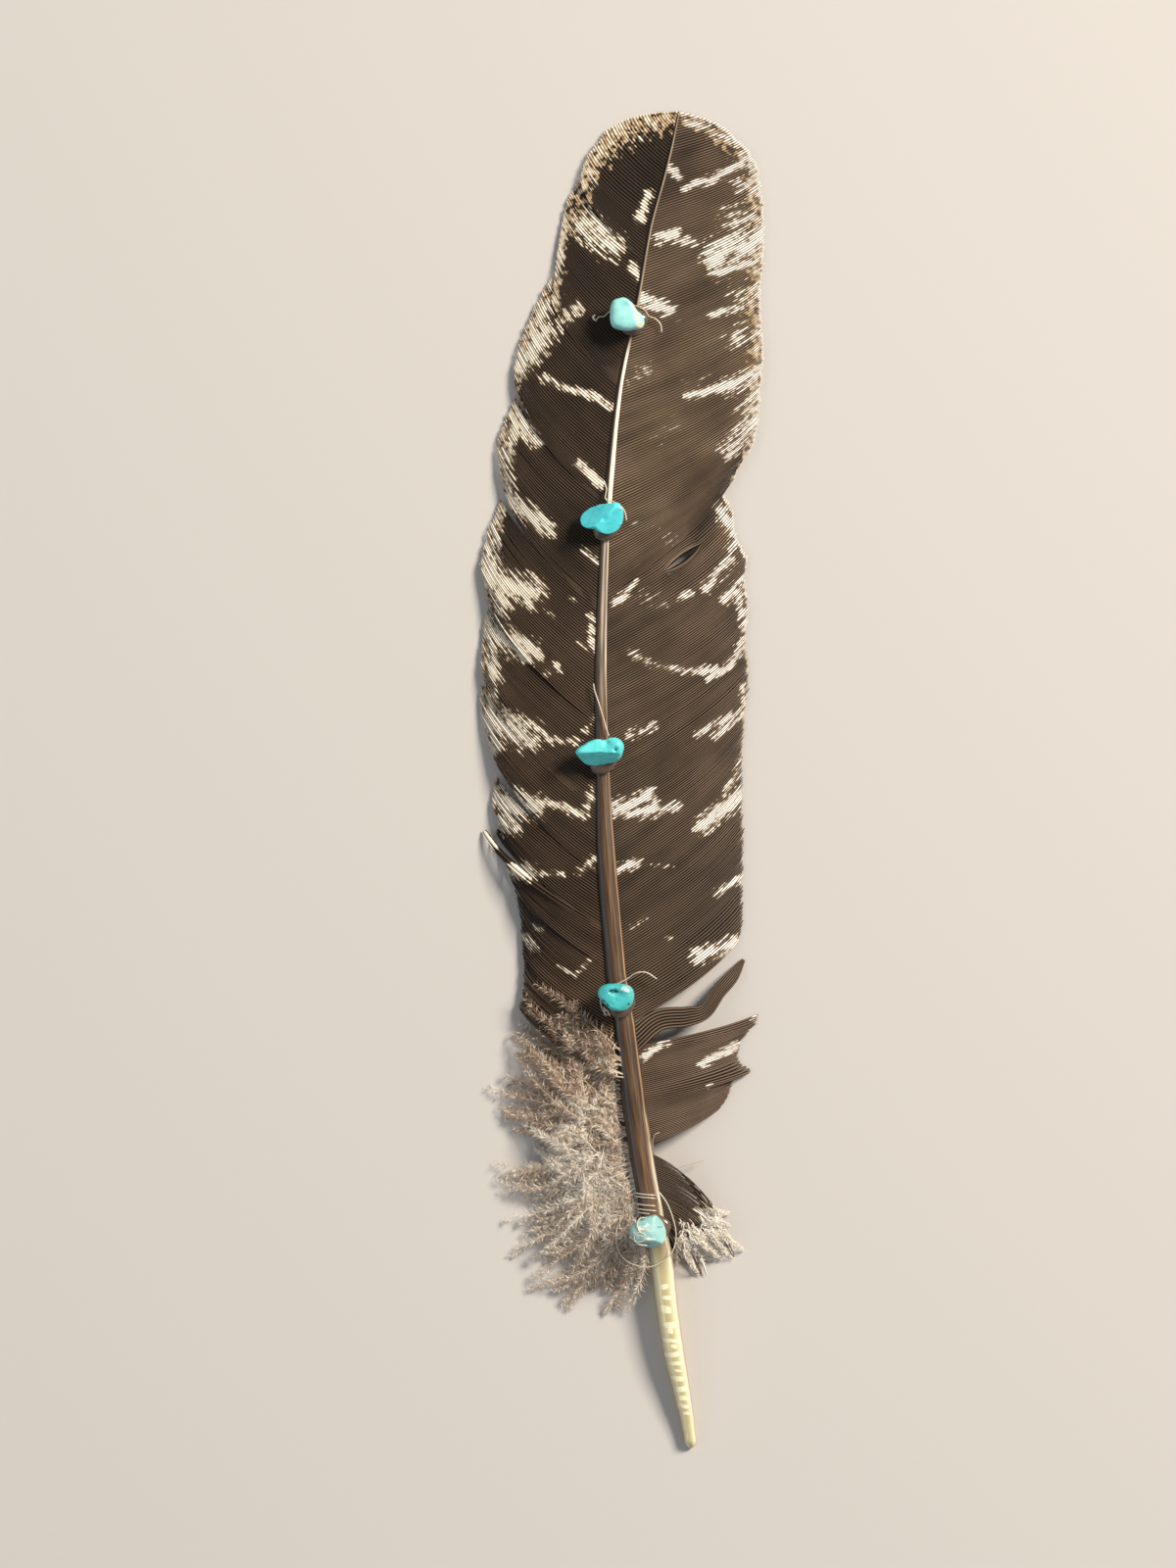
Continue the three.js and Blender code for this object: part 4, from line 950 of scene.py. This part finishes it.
# Each is given in millimetres from its middle, seen from above: its outline, its upper faces as
# (x, y, share of the height, slopes), bumps and dents as (x, y, radius, share of the height), and
# spots of pale matrix and dark pits as (x, y, half width, half height, strength). The colours
# are the stone, its clouds, its matrix and its pits. EDGE is the share of the height over
# which the tumbling has rounded an edge.
EDGE = 0.025
CHIPS = (
    {
        "outline": (
            (-3.71, 2.2), (-3.3, 2.97), (-2.2, 3.35), (-0.82, 3.63), (0.69, 2.75), (1.79, 1.38),
            (2.34, 0.49), (3.3, -0.14), (3.9, -1.24), (3.9, -2.2), (3.44, -3.02), (2.61, -3.35),
            (1.65, -3.41), (-0.28, -3.63), (-2.2, -3.35), (-3.44, -2.89), (-3.9, -1.65), (-3.9, 0.28),
        ),
        "facets": (
            (-0.82, 0, 0.99, -0.011, -0.022), (0.88, 1.79, 0.97, -0.225, -0.153),
            (2.25, -1.65, 0.88, -0.273, -0.036),
        ),
        "bumps": ((3.16, -1.93, 0.77, 0.12), (0.28, 2.48, 0.82, 0.05)),
        "matrix": (
            (1.5, 1.93, 0.7, 1.2, 0.5), (2.5, -0.55, 0.6, 1.2, 0.55), (2.89, -2.48, 0.9, 0.9, 0.7),
            (0.41, -2.75, 1.65, 0.5, 0.3),
        ),
        "pit": (),
        "colours": ("aaf0ea", "93e2dc", "d9cba8", "2f6a66"),
    },
    {
        "outline": (
            (-4.77, 0.14), (-4.5, 0.74), (-3.4, 1.84), (-1.47, 2.61), (0.73, 3.02), (2.1, 3.22),
            (3.75, 3.35), (4.44, 2.34), (4.77, 0.96), (4.58, -0.55), (4.03, -1.84), (2.65, -2.94),
            (1.28, -3.35), (-0.1, -3.08), (-1.75, -2.25), (-3.4, -2.12), (-4.36, -1.57), (-4.72, -0.69),
        ),
        "facets": (
            (1, 0.5, 0.94, 0.16, -0.14), (1, 0.5, 0.94, -0.1, 0.14), (-3.4, -1.79, 0.72, 0.091, 0.327),
        ),
        "bumps": ((3.89, 2.75, 0.6, 0.06), (4.44, -1.51, 0.39, 0.1)),
        "matrix": ((4.03, 2.06, 0.44, 0.71, 0.5),),
        "pit": ((4.03, 1.73, 0.28, 0.33, 0.5),),
        "colours": ("5cecf4", "46d6e0", "b9eef0", "1d7480"),
    },
    {
        "outline": (
            (-5.32, -0.14), (-4.5, 0.82), (-3.4, 1.38), (-2.02, 2.2), (-0.92, 2.61), (0.73, 2.42),
            (1.42, 2.53), (2.24, 2.94), (3.48, 3.02), (4.58, 2.48), (5.32, 1.24), (4.91, -0.41),
            (4.58, -1.51), (3.48, -2.2), (1.83, -2.48), (0.18, -2.89), (-1.47, -3.02), (-2.85, -2.75),
            (-3.95, -1.79), (-4.77, -0.82),
        ),
        "facets": (
            (-0.65, -0.08, 0.93, 0, -0.044), (-0.65, -0.19, 0.95, 0, 0.309),
            (4.03, -0.96, 0.9, -0.109, 0.182),
        ),
        "bumps": (
            (3.62, 1.51, 1.43, 0.16), (1.5, 1.84, 0.55, -0.12), (3.42, 0.36, 0.41, -0.16),
            (4.03, -1.38, 0.44, 0.08),
        ),
        "matrix": ((4.03, -1.46, 0.44, 0.39, 0.5),),
        "pit": ((3.42, 0.3, 0.39, 0.33, 0.6), (1.83, 0.91, 0.66, 0.25, 0.35)),
        "colours": ("64e4e4", "4fd2d4", "b4f0ee", "1f7a7c"),
    },
    {
        "outline": (
            (-4, 1.25), (-3.59, 2.21), (-2.49, 2.79), (-0.84, 2.96), (0.81, 2.96), (2.46, 2.74),
            (3.56, 2.13), (4.06, 0.76), (3.84, -0.76), (3.01, -2.21), (1.64, -2.96), (-0.01, -2.96),
            (-1.39, -2.54), (-2.49, -1.53), (-3.59, -0.4), (-4.06, 0.62),
        ),
        "facets": (
            (-0.01, 0.21, 1, -0.022, 0.018), (2.46, -1.17, 0.9, -0.127, 0.164),
            (-2.76, 1.31, 0.92, 0.145, -0.036),
        ),
        "bumps": (
            (-1.06, 1.31, 0.44, -0.13), (-0.29, 1.42, 0.49, -0.16), (0.7, 0.76, 0.6, -0.07),
            (-0.12, -0.4, 0.66, -0.07), (-0.95, -1.44, 0.6, -0.07), (2.46, 1.99, 1.24, 0.06),
        ),
        "matrix": ((2.24, 1.91, 1.8, 1.2, 0.4), (3.29, 0.76, 0.8, 0.9, 0.32)),
        "pit": (
            (-0.51, 1.36, 1.1, 0.33, 0.9), (-2.9, -0.62, 0.6, 0.44, 0.55),
            (-1.8, -1.66, 0.49, 0.36, 0.6), (0.54, 0.62, 0.49, 0.39, 0.4),
            (2.87, -1.44, 0.39, 0.28, 0.5),
        ),
        "colours": ("4cc8c8", "3cb2b2", "f0fcf8", "0c4a50"),
    },
    {
        "outline": (
            (-3.97, 0.44), (-3.62, 1.54), (-2.93, 2.37), (-1.55, 2.92), (0.65, 3.88), (1.75, 4.24),
            (2.57, 3.25), (3.67, 1.26), (4.03, -0.39), (3.95, -2.04), (3.12, -3.46), (2.02, -3.96),
            (0.65, -4.24), (-1, -3.96), (-2.65, -2.92), (-3.62, -1.54), (-4.03, -0.44),
        ),
        "facets": (
            (-0.73, 0.17, 1, 0.011, -0.044), (1.2, -0.11, 0.98, -0.145, -0.029),
            (-0.18, -2.58, 0.86, 0.018, 0.291),
        ),
        "bumps": (
            (-0.73, 1.54, 0.71, 0.08), (-2.1, 0.44, 0.55, 0.07), (0.1, -0.39, 0.6, 0.08),
            (-1.28, -1.21, 0.55, 0.06), (-0.18, -1.9, 0.44, 0.07),
        ),
        "matrix": (
            (-1, 0.99, 1.65, 0.82, 0.55), (0.1, -1.9, 1.38, 0.33, 0.8), (-2.1, -0.39, 1.1, 0.66, 0.5),
        ),
        "pit": ((2.57, 1.13, 1.1, 0.19, 0.5), (-0.32, -3.27, 1.93, 0.71, 0.5)),
        "colours": ("9accc8", "84c0bc", "e8f2ea", "4f8a84"),
    },
)


def chip_mesh(outline, facets, bumps, low, high, rows=72, columns=128):
    """A lump with the given outline: a squared-off pillow whose top is cut by the upper faces,
    the lower of pillow and faces being kept, with rounded edges. It is stretched to the box it
    has to fill."""
    outline = np.array(outline)
    angle = np.arctan2(outline[:, 1], outline[:, 0])
    order = np.argsort(angle)
    compass = np.linspace(-math.pi, math.pi, columns, endpoint=False)
    radius = np.interp(compass, angle[order], np.hypot(*outline[order].T), period=2 * math.pi)
    for _ in range(3):
        radius = (np.roll(radius, 1) + 2 * radius + np.roll(radius, -1)) / 4
    rise = np.linspace(-math.pi / 2, math.pi / 2, rows)[:, None]
    plan = np.cos(rise).clip(0) ** 0.42
    x = plan * radius * np.cos(compass)
    y = plan * radius * np.sin(compass)
    s = np.sin(rise)
    pillow = 0.5 + 0.5 * np.sign(s) * np.abs(s) ** 0.8 + 0 * x
    cuts = [np.exp(-pillow / EDGE)]
    for at_x, at_y, share, slope_x, slope_y in facets:
        cuts.append(np.exp(-(share + slope_x * (x - at_x) + slope_y * (y - at_y)) / EDGE))
    z = -EDGE * np.log(sum(cuts))
    for at_x, at_y, size, share in bumps:
        near = np.exp(-((x - at_x) ** 2 + (y - at_y) ** 2) / size ** 2)
        z = z + share * near * (pillow > 0.5)
    points = np.stack([x, y, z], axis=-1).reshape(-1, 3)
    span = points.max(axis=0) - points.min(axis=0)
    fitted = low + (points - points.min(axis=0)) / span * (high - low)
    return fitted, tube_faces(rows, columns), points


def spots(points, rows):
    """How strongly each point is covered: the strongest of the soft oval spots there."""
    share = np.zeros(len(points))
    for at_x, at_y, half_x, half_y, strength in rows:
        away = ((points[:, 0] - at_x) / half_x) ** 2 + ((points[:, 1] - at_y) / half_y) ** 2
        share = np.maximum(share, strength * np.exp(-away * 0.7))
    return share * (points[:, 2] > 0.3)


def solid_box(name):
    """The lowest and the highest corner of a solid, in millimetres."""
    return (np.array(corner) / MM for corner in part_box(name))


for i, chip in enumerate(CHIPS, 1):
    stone, cloudy, matrix, pit = (linear(code) for code in chip["colours"])
    polish, tree, shader = finish(f"tumbled_turquoise_{i}", {"Roughness": 0.42, "IOR": 1.61})
    where = node(tree, "ShaderNodeTexCoord").outputs["Object"]
    # Clouds some 2.4 mm wide, and a grain of 0.7 mm that frays the matrix and the pits
    cloud = node(tree, "ShaderNodeTexNoise", {"Vector": where, "Scale": 420.0, "Detail": 4.0})
    veil = node(tree, "ShaderNodeMapRange", {"Value": cloud.outputs["Fac"], "From Min": 0.42,
                                             "From Max": 0.66}).outputs[0]
    colour = node(tree, "ShaderNodeMix", {"Factor": veil, "A": stone, "B": cloudy},
                  data_type="RGBA").outputs["Result"]
    grain = node(tree, "ShaderNodeTexNoise", {"Vector": where, "Scale": 1500.0, "Detail": 4.0})
    for key, tint in (("matrix", matrix), ("pit", pit)):
        share = node(tree, "ShaderNodeAttribute", attribute_name=key).outputs["Fac"]
        raised = node(tree, "ShaderNodeMath", {0: share, 1: grain.outputs["Fac"]},
                      operation="ADD").outputs[0]
        mask = node(tree, "ShaderNodeMapRange", {"Value": raised, "From Min": 0.8,
                                                 "From Max": 1.05}).outputs[0]
        colour = node(tree, "ShaderNodeMix", {"Factor": mask, "A": colour, "B": tint},
                      data_type="RGBA").outputs["Result"]
    tree.links.new(colour, shader.inputs["Base Color"])
    relief = node(tree, "ShaderNodeBump", {"Height": grain.outputs["Fac"], "Strength": 0.25,
                                           "Distance": FINE_RELIEF})
    tree.links.new(relief.outputs[0], shader.inputs["Normal"])
    low, high = solid_box(f"turquoise_chip_{i}")
    points, faces, flat = chip_mesh(chip["outline"], chip["facets"], chip["bumps"], low, high)
    piece(f"chip_{i}", points, [faces], polish, f"turquoise_chip_{i}",
          values={key: spots(flat, chip[key]) for key in ("matrix", "pit")})


# Glue: a dab of clear craft glue that ran out under each chip and set, over the dark shaft. It
# set glossy and slightly brown, because the shaft shows through it.
def dab_mesh(low, high, rows=24, columns=64):
    """A low dome: a quarter ellipse turned about its axis, its rim wavering a little."""
    t = np.linspace(0, 1, rows)[:, None]
    turn = np.linspace(0, 2 * math.pi, columns, endpoint=False)[None]
    waver = 1 + 0.05 * np.sin(3 * turn + 1) + 0.03 * np.sin(5 * turn)
    reach = np.sin(t * math.pi) ** 0.6 * waver
    z = (1 - np.cos(t * math.pi)) / 2
    middle, size = (low + high) / 2, (high - low) / 2
    points = np.stack(np.broadcast_arrays(
        middle[0] + size[0] * reach * np.cos(turn) * 0.94,
        middle[1] + size[1] * reach * np.sin(turn) * 0.94,
        low[2] - 0.4 + (high[2] - low[2] + 1.0) * z,
    ), axis=-1).reshape(-1, 3)
    return points, tube_faces(rows, columns)


glue, _, _ = finish("clear_craft_glue", {"Base Color": linear("8d7c6c"), "Roughness": 0.18,
                                         "IOR": 1.48, "Transmission Weight": 0.6})
for i in range(1, len(CHIPS) + 1):
    points, faces = dab_mesh(*solid_box(f"glue_dab_{i}"))
    piece(f"glue_{i}", points, [faces], glue, f"glue_dab_{i}")


# Threads: clear nylon thread, 0.3 mm thick, knotted round each chip, with its loose ends and
# loops as they sprang back, and five windings round the shaft above the last chip. Each route is
# a row of (x, y, height over the top of the shaft there).
THREADS = (
    ([(-6.4, 103.9, 0.6), (-6.9, 103.3, 0.8), (-6.3, 102.6, 0.7), (-5.6, 103.4, 0.5),
      (-4.4, 103.6, 0.2), (-3, 104.8, 0.1), (-0.6, 106, 0.1), (2.4, 106, 0.1),
      (4.6, 105, 0.5), (5.6, 103.6, 0.9), (7, 103, 0.8), (8.2, 101.8, 0.5), (8.5, 100, 0.5)],),
    ([(-4.5, 66.8, 0.7), (-3.9, 64.8, 0.9), (-4.1, 62.6, 0.8), (-2.2, 61.9, 0.8),
      (-0.5, 60.8, 0.8), (0.3, 59.4, 0.8), (0.6, 57.7, 1)],),
    ([(-6.8, 21.4, 0.7), (-6.5, 19.7, 0.7), (-5.4, 16.4, 0.8), (-4.3, 12.7, 0.8),
      (-3.8, 10.9, 0.9), (-3.3, 9.6, 0.8)],),
    ([(7.4, -44.4, 0.9), (5.2, -43, 1.4), (3.7, -42.8, 1.6), (2.3, -43.2, 1.4), (0.9, -44.2, 0.9),
      (-1.5, -45.5, 0.7), (-4.3, -46.7, 0.7), (-5.2, -49, 0.7), (-4.8, -51, 0.7),
      (-3.9, -52.2, 0.8)],
     [(-4.6, -50.6, 1.1), (-3.9, -51.3, 1.5), (-3.4, -52.1, 1.2), (-4.2, -52.3, 1.5),
      (-4.4, -51.5, 1.2), (-3.6, -51.4, 1.6), (-3.1, -52.6, 1.1)]),
    ([(7.8, -91.8, 0.6), (9.6, -94.4, 0.8), (11, -98, 1), (11.6, -101.6, 1), (10.9, -105, 0.9),
      (8.7, -107.3, 0.8), (5.8, -108.6, 0.7), (2.6, -108.3, 0.2), (-0.3, -106.6, -0.8),
      (-1.6, -103.4, -1.5), (-1.5, -100, -1.8), (-0.2, -97.6, -1.5)],
     [(2.5, -97.6, 5.2), (2.8, -99.4, 6.1), (4.4, -99.9, 6.3), (5.5, -98.9, 6), (5, -97.4, 5.3),
      (3.6, -97.3, 5.6), (2.9, -98.6, 6.2), (3.6, -100.4, 6.5), (5.6, -101, 6.2)],
     [(1.3, -101.4, 5.4), (2.6, -102.5, 6), (4.3, -102.2, 6.3), (4.4, -100.8, 6.5),
      (3.1, -100.4, 6.5), (2.2, -101.5, 6.2), (3.1, -103, 5.8), (5.2, -103.4, 5.2)],
     *([(5.3 + lean + 2.9 * math.cos(a), y + 0.25 * a, 2.75 * math.sin(a) - 2.6)
        for a in np.linspace(-0.2, 3.3, 9)]
       for y, lean in ((-97.2, 0.6), (-96.4, 0.4), (-95.3, 0.2), (-93.6, 0), (-92.9, -0.1)))),
)
THREAD_RADIUS = 0.15


def strand_mesh(rows, radius, sides=10):
    """A round tube along the smooth curve through its rows, closed by pointed ends."""
    rows = np.array(rows, dtype=float)
    steps = len(rows) * 12
    route = smooth(rows, np.linspace(0, len(rows) - 1, steps))
    route[:, 2] += underside(route[:, 1]) + depth(route[:, 1])
    way = unit(np.gradient(route, axis=0))
    across = unit(np.cross(way, (0, 0, 1)))
    up = np.cross(across, way)
    turn = np.linspace(0, 2 * math.pi, sides, endpoint=False)[None, :, None]
    thick = np.full(steps, radius)
    thick[[0, -1]] *= 0.05
    ring = across[:, None] * np.cos(turn) + up[:, None] * np.sin(turn)
    points = route[:, None] + ring * thick[:, None, None]
    return points.reshape(-1, 3), tube_faces(steps, sides)


nylon, _, _ = finish("clear_nylon_thread", {"Base Color": linear("ddd2bd"), "Roughness": 0.22,
                                            "IOR": 1.53, "Transmission Weight": 0.15})
for i, strands in enumerate(THREADS, 1):
    points, faces = join([strand_mesh(rows, THREAD_RADIUS) for rows in strands])
    piece(f"nylon_{i}", points, [faces], nylon, f"thread_{i}")

# Two stray barbs that came loose beside the quill
points, faces = join([
    strand_mesh([(6.6, -82.6, -1.5), (6.4, -80.8, -0.6), (6.8, -79.2, 0), (7.9, -78.6, -0.2)], 0.1),
    strand_mesh([(11.6, -87.2, -4.6), (13.5, -86.5, -5), (15.6, -86, -5.6), (18, -85.3, -6.4)], 0.1),
])
piece("stray_barbs", points, [faces], fluff, "feather",
      values={"tone": np.full(len(points), 0.5)})
